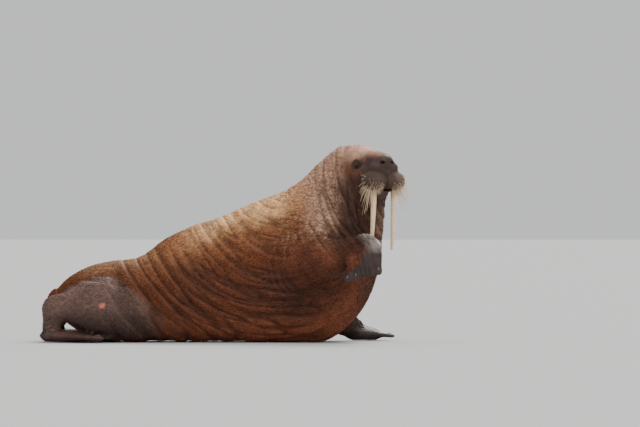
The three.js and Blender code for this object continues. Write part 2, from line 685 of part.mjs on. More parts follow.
/** One whisker: a thin spine of few sides that bends down and narrows to its tip. */
function makeBristle(root, out, length, droop) {
  const { rootRadius, tipRadius, sides, sunk } = BRISTLE;
  const points = [];
  const triangles = [];
  const bends = [-sunk / length, 0.45, 1];
  const side = unit(cross(out, [0.1, 0.2, 1]));
  const over = cross(side, out);
  bends.forEach((t, i) => {
    const middle = add(add(root, scale(out, t * length)), [0, 0, -droop * length * Math.max(t, 0) ** 2]);
    const radius = i === bends.length - 1 ? tipRadius : mix(rootRadius, tipRadius, Math.max(t, 0));
    for (let j = 0; j < sides; j += 1) {
      const turn = (2 * Math.PI * j) / sides;
      points.push(add(middle, add(scale(side, radius * Math.cos(turn)), scale(over, radius * Math.sin(turn)))));
    }
  });
  for (let i = 0; i < bends.length - 1; i += 1) {
    for (let j = 0; j < sides; j += 1) {
      const next = (j + 1) % sides;
      const a = i * sides + j;
      const b = i * sides + next;
      triangles.push(a, b, b + sides, a, b + sides, a + sides);
    }
  }
  const last = (bends.length - 1) * sides;
  for (let j = 1; j < sides - 1; j += 1) triangles.push(0, j + 1, j, last, last + j, last + j + 1);
  return toManifold({ points, triangles });
}

/** The point on the body's surface that a ray from inside the head reaches. */
function surfaceFrom(inside, direction) {
  let near = 0;
  let far = 260;
  for (let round = 0; round < 30; round += 1) {
    const middle = (near + far) / 2;
    if (bodyDistance(add(inside, scale(direction, middle))) < 0) near = middle;
    else far = middle;
  }
  return add(inside, scale(direction, near));
}

/** All the whiskers of one pad, in rows across its front: the longest droop from its lower outer corner. */
function bristlesOf(side) {
  const random = seededRandom(BRISTLE_SEED[side]);
  const { rows, perRow, rise, turn, scatter, length, droop } = BRISTLE;
  const angle = (range, t) => THREE.MathUtils.degToRad(mix(...range, t) + scatter * (random() - 0.5));
  const middle = fromHead([PAD_MIDDLE[0], side * PAD_MIDDLE[1], PAD_MIDDLE[2]]);
  const spines = [];
  for (let row = 0; row < rows; row += 1) {
    for (let k = 0; k < perRow; k += 1) {
      const up = angle(rise, (row + 0.5) / rows);
      const out = angle(turn, (k + 0.5 * (row % 2) + 0.25) / perRow);
      const local = [Math.cos(up) * Math.cos(out), side * Math.cos(up) * Math.sin(out), Math.sin(up)];
      const way = sub(fromHead(local), HEAD_ORIGIN);
      const low = smoothstep(0.1, 0.95, row / rows);
      const outer = smoothstep(0.35, 1, k / perRow);
      const share = clamp(0.15 + 0.55 * low + 0.5 * outer, 0, 1) * mix(0.72, 1, random());
      const ahead = unit(add(way, [0, 0, -0.35]));
      spines.push(makeBristle(surfaceFrom(middle, way), ahead, mix(...length, share), droop * (1 + share)));
    }
  }
  return spines;
}

const tuskHoles = [-1, 1].map((side) => makeTusk(side, GAP));
for (const side of [-1, 1]) {
  keep(atSide(side, 'tusk'), makeTusk(side, 0), 'ivory');
  keep(atSide(side, 'eye'), ball(eyeAt(side), EYE.radius, 12, 8), 'eye');
}

let head = carveFine(HEAD, HEAD_STEP, [JAW, PAD_RIGHT, PAD_LEFT, NOSE_BOX]);
for (const side of [-1, 1]) {
  const beside = surfaceFrom(fromHead([EAR.forward, 0, EAR.up]), scale(HEAD_LEFT, side));
  head = head.subtract(makePit(side, EYE_SOCKET)).add(ball(eyeAt(side), EYE.lid, 14, 10));
  head = head.subtract(lidOpening(side)).subtract(ball(eyeAt(side), EYE.radius + GAP, 12, 8));
  head = head.subtract(makePit(side, { at: [EAR.forward, side * toHead(beside)[1], EAR.up], radii: EAR.radii }));
}
for (const hole of tuskHoles) head = head.subtract(hole);
keep('head', largest(head.subtract(makePit(1, MOUTH))), 'face');

let nose = carveFine(NOSE_BOX, MUZZLE_STEP, [PAD_RIGHT, PAD_LEFT], [HEAD]);
for (const side of [-1, 1]) nose = nose.subtract(makePit(side, NOSTRIL));
keep('nose', largest(nose), 'face');
let jaw = carveFine(JAW, JAW_STEP, [], [HEAD]).subtract(makePit(1, MOUTH));
for (const hole of tuskHoles) jaw = jaw.subtract(hole);
keep('lower_jaw', largest(jaw), 'face');

for (const side of [-1, 1]) {
  const region = side < 0 ? PAD_RIGHT : PAD_LEFT;
  let pad = carveFine(region, MUZZLE_STEP, [JAW], [HEAD]).subtract(makePit(1, MOUTH));
  for (const spine of bristlesOf(side)) pad = pad.add(spine);
  pad = pad.subtract(orientedBox(JAW, GAP / 2)).subtract(tuskHoles[side < 0 ? 0 : 1]);
  keep(atSide(side, 'whisker_pad'), largest(pad), 'face');
}

// Limbs
/** A flipper with a small nail set back from the tip of each toe, on its upper face. */
function withNails(solid, flipper, upper) {
  let result = solid;
  for (const { b, a, rb } of flipper.digits) {
    const way = unit(sub(b, a));
    const at = add(b, scale(way, rb - NAIL.setBack));
    const middle = outOfFlipper(flipper, [at[0], at[1], upper * rb * flipper.thick]);
    const ahead = unit(add(scale(flipper.x, way[0]), scale(flipper.y, way[1])));
    const axes = [ahead, cross(flipper.z, ahead), flipper.z].map((axis) => new THREE.Vector3(...axis));
    const matrix = new THREE.Matrix4().makeBasis(...axes)
      .scale(new THREE.Vector3(NAIL.length / 2, NAIL.width / 2, NAIL.height / 2))
      .setPosition(...middle);
    result = result.add(geometryManifold(new THREE.SphereGeometry(1, 6, 4), matrix));
  }
  return largest(result);
}

keep('right_foreleg', carveFine(RIGHT_ARM_BOX, LIMB_STEP, [RIGHT_HAND_BOX]), 'hide');
const rightHand = carveFine(RIGHT_HAND_BOX, FLIPPER_STEP, [], [RIGHT_ARM_BOX]);
keep('right_foreflipper', withNails(rightHand, RIGHT_HAND, 1), 'flipper');
keep('left_foreleg', carveFine(LEFT_ARM_BOX, LIMB_STEP, [LEFT_HAND_BOX]), 'hide');
const leftHand = carveFine(LEFT_HAND_BOX, FLIPPER_STEP, [], [LEFT_ARM_BOX]);
keep('left_foreflipper', withNails(leftHand, LEFT_HAND, -1), 'flipper');
[-1, 1].forEach((side, n) => {
  keep(atSide(side, 'hind_leg'), carveFine(LEG_BOXES[n], LIMB_STEP, [FOOT_BOXES[n]]), 'hide');
  keep(atSide(side, 'hind_flipper'), withNails(carveFine(FOOT_BOXES[n], HIND_STEP), HIND_FEET[n], -1), 'flipper');
});
keep('tail', carveFine(TAIL_BOX, FLIPPER_STEP, [...FOOT_BOXES, ...LEG_BOXES]), 'hide');

/** A closed mesh without its crumbs: very short sides are drawn to a point and flat triangles are turned. */
function withoutCrumbs({ vertProperties, triVerts }) {
  const points = Array.from({ length: vertProperties.length / 3 }, (_, n) => [...vertProperties.slice(3 * n, 3 * n + 3)]);
  const faces = Array.from({ length: triVerts.length / 3 }, (_, n) => [...triVerts.slice(3 * n, 3 * n + 3)]);
  const around = points.map(() => new Set());
  faces.forEach((face, n) => face.forEach((v) => around[v].add(n)));
  const length = (a, b) => Math.hypot(...sub(points[a], points[b]));
  const normal = (face) => {
    const [a, b, c] = face.map((v) => points[v]);
    return cross(sub(b, a), sub(c, a));
  };
  const near = (v) => new Set([...around[v]].flatMap((n) => faces[n]).filter((w) => w !== v));
  const drop = (n) => {
    faces[n].forEach((v) => around[v].delete(n));
    faces[n] = null;
  };
  const draw = (from, to) => {
    const shared = [...near(from)].filter((v) => near(to).has(v));
    if (shared.length !== 2) return false;
    [...around[from]].filter((n) => faces[n].includes(to)).forEach(drop);
    for (const n of [...around[from]]) {
      faces[n] = faces[n].map((v) => (v === from ? to : v));
      around[to].add(n);
    }
    around[from].clear();
    return true;
  };
  const turn = (n) => {
    const sides = [0, 1, 2].map((k) => [faces[n][k], faces[n][(k + 1) % 3], faces[n][(k + 2) % 3]]);
    const [a, b, tip] = sides.sort((p, q) => length(q[0], q[1]) - length(p[0], p[1]))[0];
    const other = [...around[a]].find((m) => m !== n && faces[m].includes(b));
    const far = faces[other].find((v) => v !== a && v !== b);
    if (near(tip).has(far)) return false;
    drop(n);
    drop(other);
    faces[n] = [tip, a, far];
    faces[other] = [tip, far, b];
    [n, other].forEach((m) => faces[m].forEach((v) => around[v].add(m)));
    return true;
  };
  for (let round = 0; round < 12; round += 1) {
    let changed = false;
    faces.forEach((face, n) => {
      if (!faces[n]) return;
      const short = [0, 1, 2].find((k) => length(faces[n][k], faces[n][(k + 1) % 3]) < CRUMB);
      if (short !== undefined) changed = draw(faces[n][short], faces[n][(short + 1) % 3]) || changed;
      if (!faces[n]) return;
      const longest = Math.max(...[0, 1, 2].map((k) => length(faces[n][k], faces[n][(k + 1) % 3])));
      if (Math.hypot(...normal(faces[n])) / longest < CRUMB / 2) changed = turn(n) || changed;
    });
    if (!changed) break;
  }
  const kept = faces.filter(Boolean).flat();
  const order = new Map([...new Set(kept)].map((v, n) => [v, n]));
  return { positions: [...order.keys()].flatMap((v) => points[v]), index: kept.map((v) => order.get(v)) };
}

const group = new THREE.Group();
for (const [name, { solid, material }] of nodes) {
  const { positions, index } = withoutCrumbs(solid.getMesh());
  const geometry = new THREE.BufferGeometry();
  geometry.setAttribute('position', new THREE.Float32BufferAttribute(positions, 3));
  geometry.setIndex(index);
  geometry.computeVertexNormals();
  const node = new THREE.Mesh(geometry, new THREE.MeshStandardMaterial({ ...MATERIALS[material], metalness: 0 }));
  node.name = name;
  group.add(node);
}

// The origin is on the floor under the middle of the whole animal's box
const reach = new THREE.Box3().setFromObject(group, true);
group.position.set(-(reach.min.x + reach.max.x) / 2, -(reach.min.y + reach.max.y) / 2, -reach.min.z);

export default group;
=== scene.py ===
"""The looks of a life-size adult female walrus, hauled out with her head up and turned to her right.

Sizes are in millimetres in the animal's own modelled frame until a mesh is made: +X from tail to head,
+Y to her left, +Z up, with the floor at z = 0. Body.shift carries them over to the frame's origin.
"""

import logging
import math
from dataclasses import dataclass, field
from enum import Enum
from typing import Callable

import bpy
import numpy as np
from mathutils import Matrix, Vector


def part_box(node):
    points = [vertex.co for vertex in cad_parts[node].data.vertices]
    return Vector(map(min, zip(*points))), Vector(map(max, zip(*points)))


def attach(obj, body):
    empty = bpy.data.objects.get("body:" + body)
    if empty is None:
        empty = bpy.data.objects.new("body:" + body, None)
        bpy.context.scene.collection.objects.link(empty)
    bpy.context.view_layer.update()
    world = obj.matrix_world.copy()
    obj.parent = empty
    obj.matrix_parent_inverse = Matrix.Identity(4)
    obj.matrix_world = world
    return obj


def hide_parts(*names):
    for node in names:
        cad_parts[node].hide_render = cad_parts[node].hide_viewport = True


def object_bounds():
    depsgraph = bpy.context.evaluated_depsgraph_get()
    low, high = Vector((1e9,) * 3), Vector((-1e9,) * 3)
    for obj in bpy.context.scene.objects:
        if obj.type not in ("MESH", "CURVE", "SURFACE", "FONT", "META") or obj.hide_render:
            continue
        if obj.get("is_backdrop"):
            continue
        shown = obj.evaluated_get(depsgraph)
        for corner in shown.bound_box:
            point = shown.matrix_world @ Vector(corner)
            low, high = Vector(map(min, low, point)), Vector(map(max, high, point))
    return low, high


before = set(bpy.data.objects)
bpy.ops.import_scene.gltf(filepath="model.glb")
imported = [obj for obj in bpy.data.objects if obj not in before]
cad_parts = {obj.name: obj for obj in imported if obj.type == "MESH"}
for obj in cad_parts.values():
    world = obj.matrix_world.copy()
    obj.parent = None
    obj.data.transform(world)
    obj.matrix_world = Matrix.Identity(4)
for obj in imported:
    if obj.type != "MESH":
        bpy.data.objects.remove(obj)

LOG = logging.getLogger("walrus")
CAD_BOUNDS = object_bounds()
MM = 0.001
Triple = tuple[float, float, float]


# Small sums on rows of points


def unit(rows: np.ndarray) -> np.ndarray:
    """Rows scaled to length one."""
    return rows / np.maximum(np.linalg.norm(rows, axis=-1, keepdims=True), 1e-9)


def ramp(low: float, high: float, x: np.ndarray) -> np.ndarray:
    """A smooth step from 0 at low to 1 at high."""
    t = np.clip((x - low) / (high - low), 0.0, 1.0)
    return t * t * (3.0 - 2.0 * t)


def bump_at(x: np.ndarray, middle: float, half: float) -> np.ndarray:
    """A smooth hump of height 1 at middle that ends half a width to each side."""
    return ramp(0.0, 1.0, 1.0 - np.abs(x - middle) / half)


def blend(a: np.ndarray, b: np.ndarray, soft: float) -> np.ndarray:
    """The lesser of two distances, with the join between them rounded over a width."""
    h = np.maximum(soft - np.abs(a - b), 0.0) / soft
    return np.minimum(a, b) - h * h * soft * 0.25


def carve(a: np.ndarray, b: np.ndarray, soft: float) -> np.ndarray:
    """The first shape less the second, with a rounded edge."""
    return -blend(-a, b, soft)


def mix(a: np.ndarray, b: np.ndarray, t: np.ndarray) -> np.ndarray:
    """From a to b by a share for each row."""
    share = t[:, None] if np.ndim(t) == 1 else t
    return a + (b - a) * share


def hashed(cell: np.ndarray, seed: int) -> np.ndarray:
    """A repeatable number from 0 to 1 for each row of three whole numbers.

    Args:
        cell: whole numbers, one row of three for each place.
        seed: which stream of numbers.

    Returns:
        One number for each row.
    """
    c = cell.astype(np.int64)
    h = (c[..., 0] * 73856093) ^ (c[..., 1] * 19349663) ^ (c[..., 2] * 83492791) ^ (seed * 2654435761)
    h = (h ^ (h >> 13)) * 1274126177 & 0xFFFFFFFF
    h = (h ^ (h >> 16)) * 2246822519 & 0xFFFFFFFF
    return (h ^ (h >> 15)).astype(np.float64) / 4294967295.0


def noise(points: np.ndarray, seed: int) -> np.ndarray:
    """Smooth noise from 0 to 1 with cells one unit wide.

    Args:
        points: places in cells.
        seed: which noise.

    Returns:
        One number for each place.
    """
    base = np.floor(points)
    f = points - base
    f = f * f * (3.0 - 2.0 * f)
    total = np.zeros(len(points))
    for corner in range(8):
        offset = np.array([corner & 1, corner >> 1 & 1, corner >> 2])
        weight = np.prod(np.where(offset, f, 1.0 - f), axis=1)
        total += weight * hashed(base + offset, seed)
    return total


def layered(points: np.ndarray, seed: int) -> np.ndarray:
    """Noise from 0 to 1 in three layers, each half as wide and strong as the last.

    Args:
        points: places in the widest cells.
        seed: which noise.

    Returns:
        One number for each place.
    """
    total, weight = np.zeros(len(points)), 0.0
    for k in range(3):
        total += noise(points * 2.0**k, seed + 7 * k) * 0.5**k
        weight += 0.5**k
    return total / weight


def pebbles(points: np.ndarray, seed: int) -> tuple[np.ndarray, np.ndarray]:
    """Distance to the nearest and the second nearest of points scattered one to a cell.

    Args:
        points: places in cells.
        seed: which scatter.

    Returns:
        The two distances for each place, in cells.
    """
    base = np.floor(points)
    near = np.full((len(points), 2), 9.0)
    for n in range(27):
        offset = np.array([n % 3 - 1, n // 3 % 3 - 1, n // 9 - 1])
        cell = base + offset
        spot = cell + np.stack([hashed(cell, seed + k) for k in range(3)], axis=1)
        d = np.linalg.norm(points - spot, axis=1)
        closer = d < near[:, 0]
        near[:, 1] = np.where(closer, near[:, 0], np.minimum(near[:, 1], d))
        near[:, 0] = np.where(closer, d, near[:, 0])
    return near[:, 0], near[:, 1]


def furrows(across: np.ndarray, along: np.ndarray, spacing: float, stretch: float, seed: int) -> np.ndarray:
    """Wandering furrows that run one way, fork and die out.

    Args:
        across: place across the furrows, in millimetres.
        along: place along them, in millimetres.
        spacing: the usual distance between two furrows.
        stretch: how many spacings a furrow keeps its course.
        seed: which set of furrows.

    Returns:
        1 in the bottom of a furrow, down to 0 on the swell between two.
    """
    place = np.stack([across / spacing, along / (spacing * stretch), np.full_like(across, seed * 3.7)], axis=1)
    place[:, 0] += 0.7 * (noise(place * [0.3, 0.8, 1.0], seed + 90) - 0.5)
    return 1.0 - ramp(0.0, 0.62, np.abs(2.0 * noise(place, seed) - 1.0) * 1.6)


# The body's shape


@dataclass(frozen=True)
class Swell:
    """An ellipsoid of flesh in the head's frame: forward, left and up from between the eyes."""

    at: Triple
    radii: Triple
    soft: float

    def distance(self, places: np.ndarray) -> np.ndarray:
        """About the distance of places in the head's frame to the ellipsoid.

        Args:
            places: places, a row for each.

        Returns:
            Distances, below 0 inside.
        """
        rel = places - np.array(self.at)
        radii = np.array(self.radii)
        near = np.linalg.norm(rel / radii, axis=1)
        steep = np.linalg.norm(rel / radii**2, axis=1)
        return near * (near - 1.0) / np.maximum(steep, 1e-6)


def folded(q: np.ndarray) -> np.ndarray:
    """Places in the head's frame, those on its right carried over to its left."""
    return np.stack([q[:, 0], np.abs(q[:, 1]), q[:, 2]], axis=1)


@dataclass(frozen=True)
class Rod:
    """A round rod that tapers from one radius to another."""

    a: Triple
    b: Triple
    radius_a: float
    radius_b: float

    def distance(self, points: np.ndarray) -> np.ndarray:
        """Distance of each point to the rod.

        Args:
            points: places, a row for each.

        Returns:
            Distances, below 0 inside.
        """
        a, ab = np.array(self.a), np.array(self.b) - np.array(self.a)
        t = np.clip((points - a) @ ab / (ab @ ab), 0.0, 1.0)
        radius = self.radius_a + (self.radius_b - self.radius_a) * t
        return np.linalg.norm(points - a - t[:, None] * ab, axis=1) - radius

    def mirrored(self) -> "Rod":
        """The same rod on the animal's other side."""
        flip = lambda p: (p[0], -p[1], p[2])
        return Rod(flip(self.a), flip(self.b), self.radius_a, self.radius_b)


@dataclass(frozen=True)
class Limb:
    """A chain of rods with rounded joins."""

    rods: tuple[Rod, ...]
    soft: float

    def distance(self, points: np.ndarray) -> np.ndarray:
        """Distance of each point to the chain.

        Args:
            points: places, a row for each.

        Returns:
            Distances, below 0 inside.
        """
        d = self.rods[0].distance(points)
        for rod in self.rods[1:]:
            d = blend(d, rod.distance(points), self.soft)
        return d


@dataclass(frozen=True)
class Toe:
    """One toe of a flipper: where it starts across the palm, its tip and its radius."""

    start: float
    tip: tuple[float, float]
    radius: float


@dataclass(frozen=True)
class Flipper:
    """A webbed flipper: a fan of flattened toes in front of a palm."""

    root: Triple
    axis: Triple
    across: Triple
    thick: float
    toes: tuple[Toe, ...]
    palm_back: float
    palm_middle: float
    palm: Triple

    def axes(self) -> np.ndarray:
        """The flipper's three directions.

        Returns:
            Rows: along the middle toe, across towards the first toe, and out of the web.
        """
        x = unit(np.array(self.axis, float))
        z = unit(np.cross(x, self.across))
        return np.stack([x, np.cross(z, x), z])

    def into(self, points: np.ndarray) -> np.ndarray:
        """Points in the flipper's own frame."""
        return (points - np.array(self.root)) @ self.axes().T

    def out_of(self, places: np.ndarray) -> np.ndarray:
        """Points in the body's frame from places in the flipper's own."""
        return places @ self.axes() + np.array(self.root)

    def distance(self, points: np.ndarray) -> np.ndarray:
        """About the distance of each point to the flipper.

        Args:
            points: places in millimetres.

        Returns:
            Distances, below 0 inside.
        """
        flat = self.into(points) / [1.0, 1.0, self.thick]
        length, width, depth = self.palm
        shaped = Swell((self.palm_middle, 0.0, 0.0), (length, width, depth / self.thick), 0.0)
        d = shaped.distance(flat)
        for toe in self.toes:
            rod = Rod((self.palm_back, toe.start, 0.0), (*toe.tip, 0.0), toe.radius * 1.15, toe.radius)
            d = blend(d, rod.distance(flat), 34.0)
        return d * min(1.0, self.thick + 0.25)


@dataclass(frozen=True)
class Section:
    """One section of the trunk: its top and bottom from the side, its middle, half width and heading."""

    top: tuple[float, float]
    bottom: tuple[float, float]
    side: float
    half: float
    heading: float


TRUNK_SECTIONS = tuple(
    Section(*row)
    for row in (
        ((105, 395), (125, 175), 0, 117, 0),
        ((200, 484), (230, 95), 0, 230, 0),
        ((345, 557), (370, 20), 0, 310, 0),
        ((490, 591), (510, -14), 0, 358, 0),
        ((640, 606), (660, -18), 0, 376, 0),
        ((735, 640), (790, -18), 0, 381, 0),
        ((860, 735), (930, -20), -4, 385, 1),
        ((1000, 807), (1090, -20), -10, 389, 3),
        ((1146, 869), (1260, -20), -20, 391, 5),
        ((1292, 914), (1450, -20), -34, 389, 7),
        ((1438, 979), (1650, -18), -52, 384, 9),
        ((1584, 1037), (1850, -14), -74, 375, 11),
        ((1730, 1090), (2060, 10), -100, 363, 14),
        ((1840, 1146), (2240, 150), -126, 341, 18),
        ((1930, 1212), (2350, 330), -152, 310, 22),
        ((2010, 1294), (2400, 520), -178, 283, 27),
        ((2085, 1354), (2412, 690), -206, 253, 33),
        ((2150, 1398), (2408, 840), -238, 226, 40),
        ((2205, 1420), (2402, 960), -272, 204, 48),
    )
)


@dataclass
class TrunkPlace:
    """Where points lie on the trunk: distance from its loft, along it, and across and up from -1 to 1."""

    distance: np.ndarray
    along: np.ndarray
    side: np.ndarray
    rise: np.ndarray


@dataclass
class Trunk:
    """The trunk from rump to throat, lofted through its sections by a smooth curve."""

    detail: int = 6
    waist: float = 0.42
    power_above: float = 2.1
    power_below: float = 2.5
    rump_cap: float = 95.0
    throat_cap: float = 70.0

    def __post_init__(self) -> None:
        """Lays the sections between the tabled ones."""
        count = (len(TRUNK_SECTIONS) - 1) * self.detail + 1
        t = np.arange(count) / self.detail
        table = np.array([[*s.top, *s.bottom, s.side, s.half, s.heading] for s in TRUNK_SECTIONS], float)
        top_x, top_z, low_x, low_z, side, half, heading = self._through(table, t).T
        turn = np.radians(heading)
        lean = low_x - top_x
        rise = np.stack([-lean, lean * np.tan(turn), top_z - low_z], axis=1)
        height = np.linalg.norm(rise, axis=1)
        self.up = unit(rise)
        self.left = np.stack([np.sin(turn), np.cos(turn), np.zeros(count)], axis=1)
        self.ahead = np.cross(self.left, self.up)
        middle = np.stack([(top_x + low_x) / 2, side, (top_z + low_z) / 2], axis=1)
        self.centre = middle + self.up * ((self.waist - 0.5) * height)[:, None]
        self.half = half
        self.above = (1.0 - self.waist) * height
        self.below = self.waist * height
        steps = np.linalg.norm(np.diff(self.centre, axis=0), axis=1)
        self.start = np.concatenate([[0.0], np.cumsum(steps)])
        self.last = count - 1

    @staticmethod
    def _through(table: np.ndarray, t: np.ndarray) -> np.ndarray:
        """A smooth curve through the rows of a table, read at places t.

        Args:
            table: one row for each whole place.
            t: places, whole or between.

        Returns:
            A row for each place.
        """
        i = np.clip(np.floor(t).astype(int), 0, len(table) - 2)
        f = (t - i)[:, None]
        a, b, c, d = (table[np.clip(i + k, 0, len(table) - 1)] for k in (-1, 0, 1, 2))
        return b + 0.5 * f * (c - a + f * (2 * a - 5 * b + 4 * c - d + f * (3 * (b - c) + d - a)))

    def place(self, points: np.ndarray) -> TrunkPlace:
        """Where each point lies along and around the trunk.

        Args:
            points: places in millimetres.

        Returns:
            Their places on the trunk.
        """
        low = np.zeros(len(points), int)
        high = np.full(len(points), self.last)
        beyond_plane = lambda i: np.einsum("ij,ij->i", points - self.centre[i], self.ahead[i])
        while (high - low).max() > 1:
            middle = (low + high) >> 1
            ahead = beyond_plane(middle) > 0
            open_span = high - low > 1
            low = np.where(ahead & open_span, middle, low)
            high = np.where(~ahead & open_span, middle, high)
        before, after = beyond_plane(low), beyond_plane(high)
        f = np.clip(before / np.maximum(before - after, 1e-6), 0.0, 1.0)
        read = lambda values: values[low] + (values[high] - values[low]) * (f[:, None] if values.ndim > 1 else f)
        rel = points - read(self.centre)
        side = np.einsum("ij,ij->i", rel, read(self.left))
        rise = np.einsum("ij,ij->i", rel, read(self.up))
        tall = np.where(rise > 0, read(self.above), read(self.below))
        power = np.where(rise > 0, self.power_above, self.power_below)
        half = read(self.half)
        q = (np.abs(side / half) ** power + np.abs(rise / tall) ** power) ** (1.0 / power)
        far = np.hypot(side, rise)
        beyond = np.where(low == 0, np.minimum(before, 0), np.where(high == self.last, np.maximum(after, 0), 0))
        q = np.hypot(q, beyond / np.where(beyond < 0, self.rump_cap, self.throat_cap))
        far = np.hypot(far, beyond)
        distance = np.where(q < 1e-3, -np.minimum(half, tall), far * (1.0 - 1.0 / np.maximum(q, 1e-3)))
        return TrunkPlace(distance, read(self.start), side / half, rise / tall)


@dataclass(frozen=True)
class EyeSizes:
    """Eye and lids, from the head's middle."""

    forward: float = 12.0
    side: float = 113.0
    radius: float = 24.0
    lid: float = 30.0
    open_long: float = 20.0
    open_high: float = 13.0
    lid_join: float = 12.0
    edge: float = 4.0


@dataclass
class Head:
    """The head, in its own frame turned to the animal's right."""

    origin: Triple = (2393.0, -430.0, 1296.0)
    yaw: float = 60.0
    eye: EyeSizes = field(default_factory=EyeSizes)
    swells: tuple[Swell, ...] = (
        Swell((-190, 0, 8), (200, 155, 137), 60),
        Swell((0, 0, 10), (150, 102, 90), 50),
        Swell((120, 0, 24), (112, 86, 64), 44),
        Swell((100, 0, -70), (120, 90, 90), 40),
        Swell((-30, 0, -190), (150, 122, 100), 70),
    )
    paired: tuple[Swell, ...] = (
        Swell((-6, 96, 0), (46, 44, 40), 34),
        Swell((-60, 78, -80), (130, 74, 108), 70),
        Swell((176, 58, -30), (52, 60, 46), 24),
    )
    pad: Swell = Swell((168, 78, -127), (90, 97, 79), 24)
    nose: Swell = Swell((188, 0, 2), (46, 70, 46), 30)
    chin: Swell = Swell((96, 0, -206), (84, 76, 58), 18)
    nostril: Swell = Swell((222, 38, 8), (17, 15, 8), 8)
    mouth: Swell = Swell((150, 0, -190), (62, 84, 5), 5)
    socket: Swell = Swell((14, 128, 0), (46, 30, 34), 20)

    def __post_init__(self) -> None:
        """Works out the head's axes."""
        turn = math.radians(self.yaw)
        self.axes = np.array(
            [[math.cos(turn), -math.sin(turn), 0.0], [math.sin(turn), math.cos(turn), 0.0], [0.0, 0.0, 1.0]]
        )

    def into(self, points: np.ndarray) -> np.ndarray:
        """Points in the head's frame: forward, left, up."""
        return (points - np.array(self.origin)) @ self.axes.T

    def out_of(self, places: np.ndarray) -> np.ndarray:
        """Points in the body's frame from places in the head's."""
        return np.asarray(places, float) @ self.axes + np.array(self.origin)

    def distance(self, points: np.ndarray) -> np.ndarray:
        """Distance of each point to the head with its nostrils, mouth and lids.

        Args:
            points: places in millimetres.

        Returns:
            Distances, below 0 inside.
        """
        q = self.into(points)
        left = folded(q)
        d = np.full(len(q), 1e6)
        for part in self.swells:
            d = blend(d, part.distance(q), part.soft)
        for part in self.paired:
            d = blend(d, part.distance(left), part.soft)
        d = blend(d, self.pad.distance(left), self.pad.soft)
        for part in (self.nose, self.chin):
            d = blend(d, part.distance(q), part.soft)
        for pit in (self.nostril, self.socket, self.mouth):
            d = carve(d, pit.distance(left), pit.soft)
        eye = self.eye
        ball = np.linalg.norm(left - [eye.forward, eye.side, 0.0], axis=1)
        d = blend(d, ball - eye.lid, eye.lid_join)
        opening = Swell((eye.forward, eye.side + eye.radius, 0.0), (eye.open_long, eye.lid, eye.open_high), 0.0)
        d = carve(d, opening.distance(left), eye.edge)
        return np.maximum(d, eye.radius - 1.0 - ball)


FORE_TOES = (
    Toe(78, (262, 112), 30),
    Toe(40, (268, 58), 27),
    Toe(2, (270, 4), 26),
    Toe(-34, (262, -52), 26),
    Toe(-66, (246, -108), 27),
)
RAISED_TOES = (
    Toe(78, (205, 112), 30),
    Toe(40, (220, 58), 27),
    Toe(2, (234, 4), 26),
    Toe(-34, (262, -52), 26),
    Toe(-66, (284, -112), 27),
)
HIND_TOES = (
    Toe(62, (430, 168), 38),
    Toe(32, (392, 84), 30),
    Toe(0, (378, 0), 28),
    Toe(-32, (392, -84), 30),
    Toe(-62, (430, -168), 38),
)


JOIN_WIDTHS = {"head": 90.0, "right_arm": 90.0, "left_arm": 90.0, "right_leg": 60.0, "left_leg": 60.0}
NARROW_JOIN = 36.0


